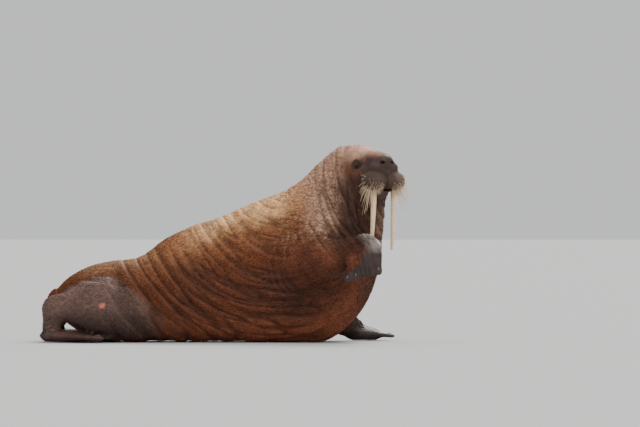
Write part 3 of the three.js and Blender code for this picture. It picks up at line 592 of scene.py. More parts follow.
@dataclass
class Body:
    """The whole animal as one distance, from its trunk, head, limbs and flippers."""

    trunk: Trunk = field(default_factory=Trunk)
    head: Head = field(default_factory=Head)
    right_arm: tuple[Rod, ...] = (
        Rod((1930, -410, 540), (2060, -560, 595), 165, 146),
        Rod((2060, -560, 595), (2335, -690, 695), 146, 90),
    )
    left_arm: tuple[Rod, ...] = (
        Rod((1880, 150, 420), (2060, 260, 230), 185, 145),
        Rod((2060, 260, 230), (2262, 335, 95), 145, 84),
    )
    right_leg: tuple[Rod, ...] = (
        Rod((800, -275, 160), (430, -292, 265), 110, 188),
        Rod((430, -292, 265), (110, -215, 255), 188, 95),
    )
    right_heel: Rod = Rod((92, -220, 230), (60, -246, 52), 88, 60)
    tail: Rod = Rod((150, 0, 250), (22, 0, 200), 62, 20)
    right_hand: Flipper = Flipper(
        (2350, -712, 730), (-20, -36, -235), (1, -0.05, -0.1), 0.62, RAISED_TOES, 20, 80, (150, 118, 62)
    )
    left_hand: Flipper = Flipper(
        (2264, 337, 62), (270, 120, -28), (0.4, -0.9, 0), 0.62, FORE_TOES, 20, 80, (150, 118, 62)
    )
    feet: tuple[Flipper, ...] = tuple(
        Flipper((70, s * 246, 46), (400, s * 128, -14), (0.3, -1, 0), 0.6, HIND_TOES, 30, 120, (210, 120, 52))
        for s in (-1, 1)
    )

    elbow_join: float = 60.0
    heel_join: float = 50.0
    out_of_reach: float = 500.0

    def __post_init__(self) -> None:
        """Finds how far the frame's origin lies from the modelled one."""
        eye = self.head.eye
        modelled = self.head.out_of([eye.forward, -eye.side, 0.0])
        low, high = (np.array(c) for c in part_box("right_eye"))
        self.shift = (low + high) / 2 - modelled * MM

    def to_frame(self, points: np.ndarray) -> np.ndarray:
        """Modelled millimetres to the frame's metres."""
        return points * MM + self.shift

    def parts(self, points: np.ndarray) -> dict[str, np.ndarray]:
        """Distances to the named parts of the body, far away where a part can't reach.

        Args:
            points: places in millimetres.

        Returns:
            For each part's name, one distance for each point.
        """
        x, y, z = points.T
        front, back = x > 1500, x < 1300
        right_leg = (*self.right_leg, self.right_heel)
        left_leg = tuple(rod.mirrored() for rod in right_leg)
        found: dict[str, np.ndarray] = {}
        for name, mask, distance in (
            ("head", (x > 1900) & (z > 800), self.head.distance),
            ("right_arm", front & (y < -100), Limb(self.right_arm, self.elbow_join).distance),
            ("left_arm", front & (y >= -100), Limb(self.left_arm, self.elbow_join).distance),
            ("right_hand", front & (y < -100), self.right_hand.distance),
            ("left_hand", front & (y >= -100), self.left_hand.distance),
            ("right_leg", back & (y < 0), Limb(right_leg, self.heel_join).distance),
            ("left_leg", back & (y >= 0), Limb(left_leg, self.heel_join).distance),
            ("tail", back, self.tail.distance),
            ("right_foot", back, self.feet[0].distance),
            ("left_foot", back, self.feet[1].distance),
        ):
            found[name] = np.full(len(points), self.out_of_reach)
            if mask.any():
                found[name][mask] = distance(points[mask])
        return found

    def distance(self, points: np.ndarray) -> np.ndarray:
        """Distance of each point to the whole body, cut off at the floor.

        Args:
            points: places in millimetres.

        Returns:
            Distances, below 0 inside.
        """
        d = self.trunk.place(points).distance
        for name, part in self.parts(points).items():
            d = blend(d, part, JOIN_WIDTHS.get(name, NARROW_JOIN))
        return np.maximum(d, 1.0 - points[:, 2])


@dataclass
class Grid:
    """Planes of a net along one axis, closer together where the form is finer."""

    spans: tuple[tuple[float, float, float], ...]

    def planes(self) -> np.ndarray:
        """Lays the planes of every span of (start, end, step).

        Returns:
            Their places in millimetres, in rising order.
        """
        found: list[float] = []
        for start, end, step in self.spans:
            count = max(1, round((end - start) / step))
            found.extend(np.linspace(start, end, count, endpoint=False))
        return np.array([*found, self.spans[-1][1]])


@dataclass
class SkinNet:
    """A closed net of four-sided faces where a distance is zero, one point in each cell of a grid."""

    distance: Callable[[np.ndarray], np.ndarray]
    grids: tuple[Grid, Grid, Grid]
    block: int = 5
    chunk: int = 150_000

    def _read(self, points: np.ndarray) -> np.ndarray:
        """The distance of many points, a chunk at a time."""
        spans = range(0, len(points), self.chunk)
        return np.concatenate([self.distance(points[n : n + self.chunk]) for n in spans])

    def _values(self, axes: list[np.ndarray]) -> np.ndarray:
        """Distances on the grid, read in full only in blocks near the surface.

        Args:
            axes: the grid's planes along each axis.

        Returns:
            A distance at each crossing of the planes.
        """
        shape = [len(a) for a in axes]
        values = np.full(shape, 1e3, np.float32)
        starts = [np.arange(0, n, self.block) for n in shape]
        ends = [np.minimum(s + self.block, n) - 1 for s, n in zip(starts, shape)]
        middles = [(a[s] + a[e]) / 2 for a, s, e in zip(axes, starts, ends)]
        halves = [(a[e] - a[s]) / 2 + 12.0 for a, s, e in zip(axes, starts, ends)]
        mesh = np.stack(np.meshgrid(*middles, indexing="ij"), axis=-1).reshape(-1, 3)
        reach = np.linalg.norm(np.stack(np.meshgrid(*halves, indexing="ij"), axis=-1).reshape(-1, 3), axis=1)
        d = self._read(mesh)
        index = np.stack(np.meshgrid(*[np.arange(len(s)) for s in starts], indexing="ij"), axis=-1).reshape(-1, 3)
        for (i, j, k), far in zip(index[d < -1.4 * reach], d[d < -1.4 * reach]):
            values[tuple(slice(s[n], e[n] + 1) for s, e, n in zip(starts, ends, (i, j, k)))] = far
        near = index[np.abs(d) <= 1.4 * reach]
        within = np.stack(np.meshgrid(*[np.arange(self.block)] * 3, indexing="ij"), axis=-1).reshape(-1, 3)
        cells = (near[:, None, :] * self.block + within[None]).reshape(-1, 3)
        cells = cells[(cells < shape).all(axis=1)]
        points = np.stack([axes[n][cells[:, n]] for n in range(3)], axis=1)
        values[tuple(cells.T)] = self._read(points)
        values[values == 0] = 1e-4
        return values

    @staticmethod
    def _plain_sheets() -> np.ndarray:
        """Tells which sets of a cell's corners leave one plain sheet between inside and outside.

        Returns:
            A yes or no for each of the 256 sets.
        """
        apart = lambda a, b: bin(a ^ b).count("1")

        def joined(corners: list[int]) -> bool:
            """Whether corners hang together along edges.

            Args:
                corners: numbers from 0 to 7.

            Returns:
                Yes or no.
            """
            reached = corners[:1]
            for a in reached:
                reached.extend(b for b in corners if apart(a, b) == 1 and b not in reached)
            return len(reached) == len(corners)

        def crossed(corners: list[int]) -> bool:
            """Whether two corners lie across a face that holds no other of them."""
            across = [(a, b) for a in corners for b in corners if apart(a, b) == 2]
            return any(not any(apart(a, c) == apart(b, c) == 1 for c in corners) for a, b in across)

        plain = np.zeros(256, bool)
        for mask in range(256):
            inside = [c for c in range(8) if mask >> c & 1]
            outside = [c for c in range(8) if c not in inside]
            plain[mask] = joined(inside) and joined(outside) and not crossed(inside)
        return plain

    def _masks(self, inside: np.ndarray) -> np.ndarray:
        """Which corners of each cell are inside, as bits.

        Args:
            inside: whether each crossing is inside.

        Returns:
            Eight bits for each cell.
        """
        nx, ny, nz = (n - 1 for n in inside.shape)
        mask = np.zeros((nx, ny, nz), np.uint8)
        for corner in range(8):
            i, j, k = corner & 1, corner >> 1 & 1, corner >> 2
            mask |= inside[i : i + nx, j : j + ny, k : k + nz].astype(np.uint8) << corner
        return mask

    def _fill_pinches(self, values: np.ndarray) -> None:
        """Fills corners, the shallowest first, until no cell is crossed by two sheets.

        Args:
            values: distances on the grid, changed in place.
        """
        plain = self._plain_sheets()
        for _ in range(60):
            masks = self._masks(values < 0)
            pinched = np.argwhere(~plain[masks])
            if not len(pinched):
                return
            for i, j, k in pinched:
                cell = values[i : i + 2, j : j + 2, k : k + 2]
                if (cell < 0).all():
                    continue
                open_corner = np.argmin(np.where(cell >= 0, cell, np.inf))
                spot = np.unravel_index(open_corner, cell.shape)
                cell[spot] *= -0.05

    def build(self) -> tuple[np.ndarray, np.ndarray, np.ndarray]:
        """Makes the net.

        Returns:
            Points, their outward directions and the four-sided faces.
        """
        axes = [grid.planes() for grid in self.grids]
        values = self._values(axes)
        self._fill_pinches(values)
        inside = values < 0
        masks = self._masks(inside)
        cells = np.argwhere((masks > 0) & (masks < 255))
        number = np.full(masks.shape, -1, np.int32)
        number[tuple(cells.T)] = np.arange(len(cells))
        low = np.stack([axes[n][cells[:, n]] for n in range(3)], axis=1)
        high = np.stack([axes[n][cells[:, n] + 1] for n in range(3)], axis=1)
        total, count = np.zeros((len(cells), 3)), np.zeros(len(cells))
        for corner in range(8):
            c = np.array([corner & 1, corner >> 1 & 1, corner >> 2])
            for axis in range(3):
                if c[axis]:
                    continue
                e = c.copy()
                e[axis] = 1
                va = values[tuple((cells + c).T)].astype(float)
                vb = values[tuple((cells + e).T)].astype(float)
                crossed = (va < 0) != (vb < 0)
                t = va / np.where(crossed, va - vb, 1.0)
                at = c + (e - c) * t[:, None]
                total[crossed] += at[crossed]
                count += crossed
        points = low + total / count[:, None] * (high - low)
        points, ahead = self._settle(points, low, high)
        faces = []
        for axis in range(3):
            u, v = (axis + 1) % 3, (axis + 2) % 3
            here = [slice(1, -1)] * 3
            there = list(here)
            there[axis] = slice(2, None)
            a, b = inside[tuple(here)], inside[tuple(there)]
            crossed = np.argwhere(a != b) + 1
            flip = ~inside[tuple(crossed.T)]
            ring = []
            for du, dv in ((-1, -1), (0, -1), (0, 0), (-1, 0)):
                cell = crossed.copy()
                cell[:, u] += du
                cell[:, v] += dv
                ring.append(number[tuple(cell.T)])
            quads = np.stack(ring, axis=1)
            quads[flip] = quads[flip][:, ::-1]
            faces.append(quads)
        return points, ahead, np.concatenate(faces)

    def _settle(self, points: np.ndarray, low: np.ndarray, high: np.ndarray) -> tuple[np.ndarray, np.ndarray]:
        """Draws the points onto the surface, each kept inside its own cell.

        Args:
            points: one point in each cell.
            low: the cells' low corners.
            high: their high corners.

        Returns:
            The drawn points and their outward directions.
        """
        corners = np.array([[1, 1, 1], [1, -1, -1], [-1, 1, -1], [-1, -1, 1]], float)
        reach = 1.5
        for _ in range(3):
            read = np.stack([self._read(points + c * reach) for c in corners], axis=1)
            slope = read @ corners / (4 * reach)
            steep = np.maximum((slope**2).sum(axis=1), 0.2)
            points = points - slope * (0.9 * read.mean(axis=1) / steep)[:, None]
            points = np.clip(points, low + 0.05 * (high - low), high - 0.05 * (high - low))
        return points, unit(slope)


# Colours


def srgb(red: float, green: float, blue: float) -> np.ndarray:
    """A screen colour from 0 to 255 as linear light."""
    c = np.array([red, green, blue]) / 255.0
    return np.where(c <= 0.04045, c / 12.92, ((c + 0.055) / 1.055) ** 2.4)


def tone(red: float, green: float, blue: float) -> np.ndarray:
    """A finish's field that holds a screen colour as linear light."""
    return field(default_factory=lambda: srgb(red, green, blue))


@dataclass(frozen=True)
class HideColours:
    """The colours of the dry coat and of the bare skin, with painted light and shade: a painted highlight, the painted
    shade of the folds, and a back and crown whose paleness is partly painted light.
    """

    crown: np.ndarray = tone(202, 156, 132)
    back: np.ndarray = tone(240, 190, 138)
    shoulder: np.ndarray = tone(144, 92, 57)
    flank: np.ndarray = tone(106, 56, 30)
    belly: np.ndarray = tone(124, 70, 46)
    neck: np.ndarray = tone(84, 56, 46)
    nape: np.ndarray = tone(204, 162, 136)
    wart: np.ndarray = tone(212, 174, 142)
    cheek: np.ndarray = tone(104, 69, 50)
    face: np.ndarray = tone(86, 65, 60)
    pad: np.ndarray = tone(82, 65, 56)
    shank: np.ndarray = tone(116, 92, 84)
    flipper: np.ndarray = tone(64, 53, 51)
    # A painted highlight for the top of the raised fore flipper where it meets the forearm.
    wrist_highlight: np.ndarray = tone(224, 208, 202)
    sole: np.ndarray = tone(70, 57, 53)
    # Painted shade for the bottoms of folds and the seams between warts.
    crease: np.ndarray = tone(46, 24, 17)
    wound: np.ndarray = tone(224, 134, 112)


@dataclass(frozen=True)
class Folds:
    """One set of folds: the distance between two, how many such distances one runs, its depth and the darkness of its
    painted shade.
    """

    spacing: float
    stretch: float
    seed: int
    depth: float
    dark: float

    def cut(self, across: np.ndarray, along: np.ndarray) -> np.ndarray:
        """Where the folds are, 1 in the bottom of each."""
        return furrows(across, along, self.spacing, self.stretch, self.seed)


@dataclass
class Relief:
    """Folds, furrows and warts of the hide, and its markings, with painted light and shade."""

    body: Body
    colours: HideColours = field(default_factory=HideColours)
    hip_folds: Folds = Folds(66, 5.0, 3, 9.0, 0.8)
    low_folds: Folds = Folds(34, 6.0, 5, 7.0, 0.9)
    mid_folds: Folds = Folds(40, 4.0, 9, 4.5, 0.7)
    neck_folds: Folds = Folds(44, 4.0, 11, 7.0, 1.0)
    arm_folds: Folds = Folds(34, 4.0, 13, 5.0, 0.7)
    wart_spacing: Triple = (30.0, 30.0, 26.0)
    wart_height: float = 3.0
    seam_depth: float = 3.0
    bulk_depth: float = 8.0
    web_depth: float = 3.0
    rough_depth: float = 2.0
    flank_centre: tuple[float, float] = (1699.0, 1154.0)
    neck_centre: tuple[float, float] = (2900.0, 1350.0)
    wound_at: Triple = (449.0, -480.0, 274.0)
    coat_depth: float = 4.0

    def read(self, points: np.ndarray) -> dict[str, np.ndarray]:
        """Reads the hide at points of the bare body.

        Args:
            points: places on the body, in modelled millimetres.

        Returns:
            The depth of the hide below the bare body, its colour with painted light and shade, and masks for the
            materials.
        """
        x, y, z = points.T
        place = self.body.trunk.place(points)
        parts = self.body.parts(points)
        q = self.body.head.into(points)
        share = self._shares(place, parts)
        head = share["head"]
        hand = np.maximum(share["right_hand"], share["left_hand"])
        arm = np.maximum(share["right_arm"], share["left_arm"]) * (1 - hand)
        foot = np.maximum(share["right_foot"], share["left_foot"])
        leg = np.maximum(share["right_leg"], share["left_leg"]) * (1 - foot)
        trunk = (1 - head) * (1 - hand) * (1 - arm) * (1 - foot) * (1 - leg)

        flank_r = np.hypot(x - self.flank_centre[0], z - self.flank_centre[1])
        flank_s = flank_r * np.arctan2(z - self.flank_centre[1], x - self.flank_centre[0])
        neck_r = np.hypot(x - self.neck_centre[0], z - self.neck_centre[1])
        neck_s = neck_r * np.arctan2(z - self.neck_centre[1], x - self.neck_centre[0])
        lift = y * 0.35

        hips = ramp(430, 620, x) * ramp(1320, 980, x) * ramp(760, 560, z)
        low_flank = ramp(900, 1150, x) * ramp(2150, 1950, x) * ramp(620, 360, z)
        mid_flank = ramp(950, 1200, x) * ramp(1900, 1700, x) * ramp(360, 520, z)
        ahead = head * ramp(-280, -80, q[:, 0])
        neck = ramp(1900, 2080, x) * ramp(600, 760, z) * (1 - ahead)
        warty = ramp(1640, 1800, x) * ramp(2260, 2060, x) * ramp(640, 800, z) * (1 - ahead)
        warty = warty * (0.45 + 0.55 * ramp(0.35, 0.6, layered(points / 120.0, 35)))
        armpit = np.maximum(bump_at(parts["right_arm"], 30, 150), bump_at(parts["left_arm"], 30, 150))
        armpit = armpit * (1 - hand) * (1 - head)
        arm_d = np.minimum(parts["right_arm"], parts["left_arm"])

        cuts = (
            (self.hip_folds, self.hip_folds.cut(flank_r, flank_s + lift) * hips * (1 - foot)),
            (self.low_folds, self.low_folds.cut(flank_r, flank_s + lift) * low_flank),
            (self.mid_folds, self.mid_folds.cut(flank_r, flank_s + lift) * mid_flank),
            (self.neck_folds, self.neck_folds.cut(neck_r, neck_s + lift) * neck),
            (self.arm_folds, self.arm_folds.cut(arm_d, x * 0.7 + z * 0.7) * armpit),
        )
        bulk = layered(points / 210.0, 21)
        near, second = pebbles(points / np.array(self.wart_spacing), 31)
        bumps = ramp(0.72, 0.12, near) * warty
        seams = ramp(0.16, 0.0, second - near) * warty

        # Each set of folds adds its depth, and painted shade in its bottoms as strong as its darkness.
        depth, crease = self.coat_depth, 0.0
        for folds, cut in cuts:
            depth = depth + folds.depth * cut
            crease = crease + cut * folds.dark
        depth = depth + self.seam_depth * seams - self.wart_height * bumps
        depth = depth - self.bulk_depth * (bulk - 0.5) * trunk * ramp(60, 300, z)
        depth = depth + self._shank(points, parts, foot) + self._face(q, head)
        rough = self.rough_depth * (layered(points / 60.0, 41) - 0.5) * (1 - head * 0.5)
        depth = depth + self.web_depth * self._webs(points, parts) + rough
        # Painted shade also in the seams between warts.
        crease = np.clip(np.clip(crease, 0, 1) + seams * 0.7, 0, 1)
        colour = self._colour(points, place, parts, share, q, crease, bumps)
        right = np.maximum(share["right_hand"], share["right_arm"])
        grey = np.maximum(share["left_hand"], right * self.grey_hand(points))
        wet = np.clip(foot + grey + self._nose_mask(q) * head, 0, 1)
        return {
            "depth": depth, "colour": colour, "crease": crease, "bare": wet, "warty": warty,
            "head": head, "flank": np.stack([flank_r, flank_s + lift, np.clip(low_flank + hips, 0, 1)], axis=1),
            "throat": np.stack([neck_r, neck_s + lift, np.clip(neck + armpit * 0.5, 0, 1)], axis=1),
            "pad": self._pad_mask(q) * head,
        }

    @staticmethod
    def _shares(place: TrunkPlace, parts: dict[str, np.ndarray]) -> dict[str, np.ndarray]:
        """How far each part, rather than any other, makes the surface at each point.

        Args:
            place: the points' places on the trunk.
            parts: distances to the parts.

        Returns:
            For each part's name, a share from 0 to 1 for each point.
        """
        names = list(parts)
        rows = np.stack([place.distance, *(parts[name] for name in names)])
        share = {}
        for n, name in enumerate(names, start=1):
            others = np.delete(rows, n, axis=0).min(axis=0)
            soft = 60.0 if name == "head" else 24.0
            share[name] = ramp(soft, -soft, rows[n] - others)
        return share

    @staticmethod
    def grey_hand(points: np.ndarray) -> np.ndarray:
        """Where the raised hand is bare: past a slanting edge where the fur of the forearm ends.

        Args:
            points: places in millimetres.

        Returns:
            A share from 0 to 1 for each.
        """
        x, y, z = points.T
        edge = np.interp(z, [490, 511, 558, 628, 679, 763, 800], [2180, 2205, 2296, 2329, 2362, 2310, 2300])
        near = ramp(-22, 22, x - edge + 50 * (layered(points / 60.0, 87) - 0.5))
        return np.maximum(near, ramp(-640, -600, y) * ramp(2180, 2260, x))

    def _nose_mask(self, q: np.ndarray) -> np.ndarray:
        """Where the bare skin of the nose is."""
        return ramp(150, 196, q[:, 0] - 0.5 * np.maximum(q[:, 2] - 10, 0)) * ramp(-58, -36, q[:, 2])

    def _pad_mask(self, q: np.ndarray) -> np.ndarray:
        """Where the whisker pads are."""
        return ramp(24, 2, self.body.head.pad.distance(folded(q))) * ramp(60, 110, q[:, 0])

    def _face(self, q: np.ndarray, head: np.ndarray) -> np.ndarray:
        """Depth of the folds of the face, in the head's frame.

        Args:
            q: places in the head's frame.
            head: how far each is on the head.

        Returns:
            A depth for each place.
        """
        forward, left, up = q.T
        eye = self.body.head.eye
        ring = np.hypot(forward - eye.forward, up)
        around = 60.0 * np.arctan2(up, forward - eye.forward)
        beside = ramp(50, 80, np.abs(left))
        eye_folds = furrows(ring, around, 15, 5.0, 51) * bump_at(ring, 52, 34) * beside
        bridge = furrows(forward, left, 20, 5.0, 53) * ramp(60, 90, forward) * ramp(200, 170, forward) * ramp(0, 20, up)
        brow = furrows(up + 0.4 * forward, left, 26, 5.0, 55) * ramp(-90, -40, forward) * ramp(60, 20, forward)
        brow = brow * ramp(20, 50, up)
        jowl = furrows(forward + 0.35 * up, up, 26, 4.0, 57) * ramp(-30, -70, up) * ramp(90, 50, forward) * beside
        ear = np.hypot((forward + 138 + 0.25 * (up + 28)) / 9.0, (up + 28) / 26.0)
        lobe = np.hypot((forward + 118) / 26.0, (up + 30) / 40.0)
        ears = 14.0 * ramp(1.0, 0.4, ear) * beside - 6.0 * ramp(1.0, 0.2, lobe) * beside
        lips = bump_at(np.abs(left), 0, 9) * ramp(170, 215, forward) * ramp(-30, -60, up)
        folds = 3.0 * eye_folds + 2.5 * bridge + 2.0 * brow + 5.0 * jowl + 5.0 * lips
        return ears * ramp(250, 200, np.abs(forward)) + head * folds

    def _shank(self, points: np.ndarray, parts: dict[str, np.ndarray], foot: np.ndarray) -> np.ndarray:
        """Depth of the long folds round the hind legs.

        Args:
            points: places in millimetres.
            parts: distances to the parts.
            foot: how far each is on a foot.

        Returns:
            A depth for each point.
        """
        x, _, z = points.T
        leg = np.minimum(parts["right_leg"], parts["left_leg"])
        upper = z - (488 - 0.00042 * (x - 420) ** 2)
        lower = z - (430 - 0.00042 * (x - 560) ** 2 - 0.22 * (x - 560))
        reach = ramp(250, 330, x) * ramp(960, 760, x)
        groove = bump_at(upper, 0, 16) * 0.6 + bump_at(lower, 0, 20)
        heel = furrows(z + 0.3 * x, x - z, 30, 5.0, 61) * ramp(260, 120, x) * 0.35
        return ramp(60, 20, leg) * (9.0 * groove * reach + 6.0 * heel) * (1 - 0.6 * foot)

    def _webs(self, points: np.ndarray, parts: dict[str, np.ndarray]) -> np.ndarray:
        """Fine folds of the webs and knuckles, 1 at the bottom of each.

        Args:
            points: places in millimetres.
            parts: distances to the parts.

        Returns:
            A share for each point.
        """
        body = self.body
        total = np.zeros(len(points))
        for flipper, name in (
            (body.right_hand, "right_hand"), (body.left_hand, "left_hand"),
            (body.feet[0], "right_foot"), (body.feet[1], "left_foot"),
        ):
            local = flipper.into(points)
            mask = ramp(30, 5, parts[name])
            total += mask * furrows(local[:, 1] - 0.25 * local[:, 0], local[:, 0], 22, 7.0, 71) * 0.7
            total += mask * furrows(local[:, 0], local[:, 1], 34, 3.0, 73) * 0.5
        return total

    def _colour(
        self, points: np.ndarray, place: TrunkPlace, parts: dict[str, np.ndarray], share: dict[str, np.ndarray],
        q: np.ndarray, crease: np.ndarray, bumps: np.ndarray,
    ) -> np.ndarray:
        """The hide's colour at each point, from its place on the body and its folds, with painted light and shade.

        Args:
            points: places in millimetres.
            place: their places on the trunk.
            parts: distances to the parts.
            share: how far each part makes the surface.
            q: the points in the head's frame.
            crease: painted shade, 1 in the bottom of a fold.
            bumps: 1 on a wart.

        Returns:
            A linear colour for each point.
        """
        x, y, z = points.T
        c = self.colours
        patchy = layered(points / 150.0, 81)
        fine = layered(points / 34.0, 83)
        # Paler towards the top of the back, hips and nape, darker down the flank: partly the coat's own colour, partly
        # painted light falling from above.
        height = place.rise + 0.35 * (patchy - 0.5) + 0.12 * (fine - 0.5)
        colour = np.tile(c.belly, (len(points), 1))
        colour = mix(colour, c.flank, ramp(-0.8, -0.1, height))
        colour = mix(colour, c.shoulder, ramp(0.25, 0.8, height) * ramp(300, 1100, x))
        colour = mix(colour, c.back, ramp(0.6, 0.98, height) * ramp(880, 1300, x) * (1 - 0.5 * ramp(1650, 1900, x)))
        colour = mix(colour, c.back * 0.75, ramp(0.7, 1.0, height) * ramp(150, 450, x) * ramp(900, 700, x) * 0.35)
        colour = mix(colour, c.nape, ramp(1860, 2020, x) * ramp(700, 900, z) * 0.75)
        front = ramp(2080, 2200, x + 110 * (patchy - 0.5)) * ramp(620, 760, z)
        colour = mix(colour, c.neck, front * ramp(1330, 1120, z + 120 * (patchy - 0.5)) * 0.95)
        colour = mix(colour, c.wart, bumps * (0.3 + 0.45 * ramp(1900, 2050, x)) * ramp(2240, 2020, x))
        # The crown and the top of the neck paler: partly their own colour, partly painted light from above.
        top = ramp(0.35, 0.95, place.rise + 0.3 * (patchy - 0.5)) * ramp(1780, 2080, x)
        colour = mix(colour, c.crown, np.maximum(top, ramp(1180, 1380, z) * ramp(1900, 2100, x)) * 0.8)
        # Painted shade on the throat under the head.
        colour = mix(colour, c.neck * [0.85, 0.72, 0.62], ramp(2240, 2380, x) * ramp(1130, 1000, z) * 0.8)
        # Painted shade on the chest under the fore flipper.
        colour = mix(colour, c.belly * 0.28, bump_at(x, 1830, 300) * ramp(640, 420, z) * ramp(120, 260, z) * 0.7)
        # Painted light on the low belly just above the floor, against the shade there.
        colour = mix(colour, c.belly * 1.6, ramp(240, 60, z) * ramp(900, 1100, x) * 0.6)
        # Painted light: a lighter strip down the front of the throat, where light falls from behind.
        colour = mix(colour, c.nape, ramp(2400, 2450, x) * ramp(1060, 940, z) * ramp(480, 760, z) * 0.3)
        arm = np.maximum(share["right_arm"], share["left_arm"])
        colour = mix(colour, c.belly, arm * (0.3 + 0.5 * ramp(800, 640, z)))
        colour = mix(colour, c.belly * 0.34, arm * ramp(2060, 2200, x) * 0.85)
        # Painted shade under the right fore flipper's arm.
        colour = mix(colour, c.belly * 0.5, bump_at(parts["right_arm"], 70, 190) * ramp(640, 460, z) * 0.7)
        colour = mix(colour, c.flipper, np.maximum(share["right_hand"], share["right_arm"]) * self.grey_hand(points))
        # Painted highlight on top of the raised fore flipper's joint.
        colour = mix(colour, c.wrist_highlight, share["right_hand"] * self.grey_hand(points) * ramp(640, 725, z) * 0.9)
        colour = mix(colour, c.flipper, ramp(2170, 2260, x) * share["left_arm"] * 0.9)
        leg = np.maximum(share["right_leg"], share["left_leg"])
        bare_leg = ramp(60, 15, np.minimum(parts["right_leg"], parts["left_leg"]))
        fold = 488 - 0.00042 * (x - 420) ** 2
        bare_leg = bare_leg * ramp(25, -15, z - fold) * ramp(980, 640, x + 80 * (patchy - 0.5))
        colour = mix(colour, c.shank, np.clip(np.maximum(bare_leg, leg * ramp(900, 600, x)), 0, 1) * 0.92)
        # Painted shade low on the bare shank, just above the floor.
        colour = mix(colour, c.shank * 0.45, bare_leg * ramp(270, 150, z) * 0.6)
        colour = mix(colour, c.flipper, share["left_hand"])
        foot = np.maximum(share["right_foot"], share["left_foot"])
        colour = mix(colour, c.sole, foot * 0.85)
        colour = self._head_colour(colour, q, share["head"], patchy)
        colour = colour * (0.82 + 0.36 * fine)[:, None]
        # Painted shade in the folds of the webs, in the hide's folds and in the seams between warts.
        colour = mix(colour, c.crease, self._webs(points, parts) * 0.6)
        colour = mix(colour, c.crease, crease * 0.55)
        wound = np.linalg.norm((points - self.wound_at) * [1.0, 0.35, 1.0], axis=1) + 14 * (fine - 0.5)
        colour = mix(colour, c.wound, ramp(26, 17, wound) * ramp(-250, -330, y))
        return np.clip(colour, 0, 1)

    def _head_colour(self, colour: np.ndarray, q: np.ndarray, head: np.ndarray, patchy: np.ndarray) -> np.ndarray:
        """The colours of the head laid over those of the neck, with painted light and shade.

        Args:
            colour: the colours so far.
            q: places in the head's frame.
            head: how far each is on the head.
            patchy: broad noise from 0 to 1.

        Returns:
            The colours with the head's laid over them.
        """
        forward, left, up = q.T
        c = self.colours
        # Paler towards the crown: partly the head's own colour, partly painted light from above.
        face = mix(np.tile(c.cheek, (len(q), 1)), c.crown, ramp(-10, 118, up + 50 * (patchy - 0.5) - 0.1 * forward))
        mask = ramp(10, 90, forward + 40 * (patchy - 0.5)) * ramp(100, 34, up + 0.12 * forward)
        face = mix(face, c.face, mask)
        eye = self.body.head.eye
        # Painted shade in the socket round the eye.
        ring = np.hypot(forward - eye.forward, (up + 2) * 1.1)
        face = mix(face, c.face * 0.55, ramp(56, 24, ring) * ramp(60, 90, np.abs(left)) * 0.92)
        # The far whisker pad painted lighter than the near one: painted light on that side.
        face = mix(face, mix(np.tile(c.pad, (len(q), 1)), c.pad * 2.2, ramp(40, 110, left)), self._pad_mask(q))
        face = mix(face, c.face * 0.62, self._nose_mask(q) * 0.9)
        # Painted shade in the fold along the top of each whisker pad.
        above = bump_at(self.body.head.pad.distance(folded(q)), 10, 16) * ramp(-130, -80, up) * ramp(90, 130, forward)
        face = mix(face, c.face * 0.4, above * 0.7)
        # Painted shade under the jaw, darker than the neck.
        face = mix(face, c.neck * 0.6, ramp(-50, -130, up) * ramp(120, 60, forward) * 0.85)
        return mix(colour, face, head * ramp(-330, -60, forward + 60 * (patchy - 0.5)))


# Meshes and attributes


def new_piece(name: str, points: np.ndarray, faces: np.ndarray) -> bpy.types.Object:
    """Makes an object from points in metres and faces of one size.

    Args:
        name: the piece's name.
        points: rows of three.
        faces: rows of three or four point numbers.

    Returns:
        The linked object.
    """
    mesh = bpy.data.meshes.new(name)
    count, sides = faces.shape
    mesh.vertices.add(len(points))
    mesh.vertices.foreach_set("co", np.ascontiguousarray(points, np.float32).ravel())
    mesh.loops.add(count * sides)
    mesh.loops.foreach_set("vertex_index", np.ascontiguousarray(faces, np.int32).ravel())
    mesh.polygons.add(count)
    mesh.polygons.foreach_set("loop_start", np.arange(0, count * sides, sides, dtype=np.int32))
    mesh.polygons.foreach_set("use_smooth", np.full(count, True))
    mesh.update(calc_edges=True)
    mesh.validate()
    piece = bpy.data.objects.new(name, mesh)
    bpy.context.scene.collection.objects.link(piece)
    return piece


def set_colour(piece: bpy.types.Object, name: str, rows: np.ndarray) -> None:
    """Stores a colour on each point of a piece.

    Args:
        piece: the piece.
        name: what to call the colour.
        rows: linear red, green and blue.
    """
    layer = piece.data.attributes.new(name, "FLOAT_COLOR", "POINT")
    rows = np.concatenate([rows, np.ones((len(rows), 1))], axis=1)
    layer.data.foreach_set("color", np.ascontiguousarray(rows, np.float32).ravel())


def set_vector(piece: bpy.types.Object, name: str, rows: np.ndarray) -> None:
    """Stores three numbers on each point of a piece."""
    layer = piece.data.attributes.new(name, "FLOAT_VECTOR", "POINT")
    layer.data.foreach_set("vector", np.ascontiguousarray(rows, np.float32).ravel())


def ring_faces(count: int, sides: int) -> list[np.ndarray]:
    """Faces between rings of points that are numbered one ring after another.

    Args:
        count: the number of rings.
        sides: points to a ring.

    Returns:
        Three-sided faces, a set for each gap and each way of its slanting edge.
    """
    j = np.arange(sides)
    k = (j + 1) % sides
    faces = []
    for i in range(count - 1):
        a, b = i * sides + j, i * sides + k
        faces += [np.stack([a, b, b + sides], 1), np.stack([a, b + sides, a + sides], 1)]
    return faces


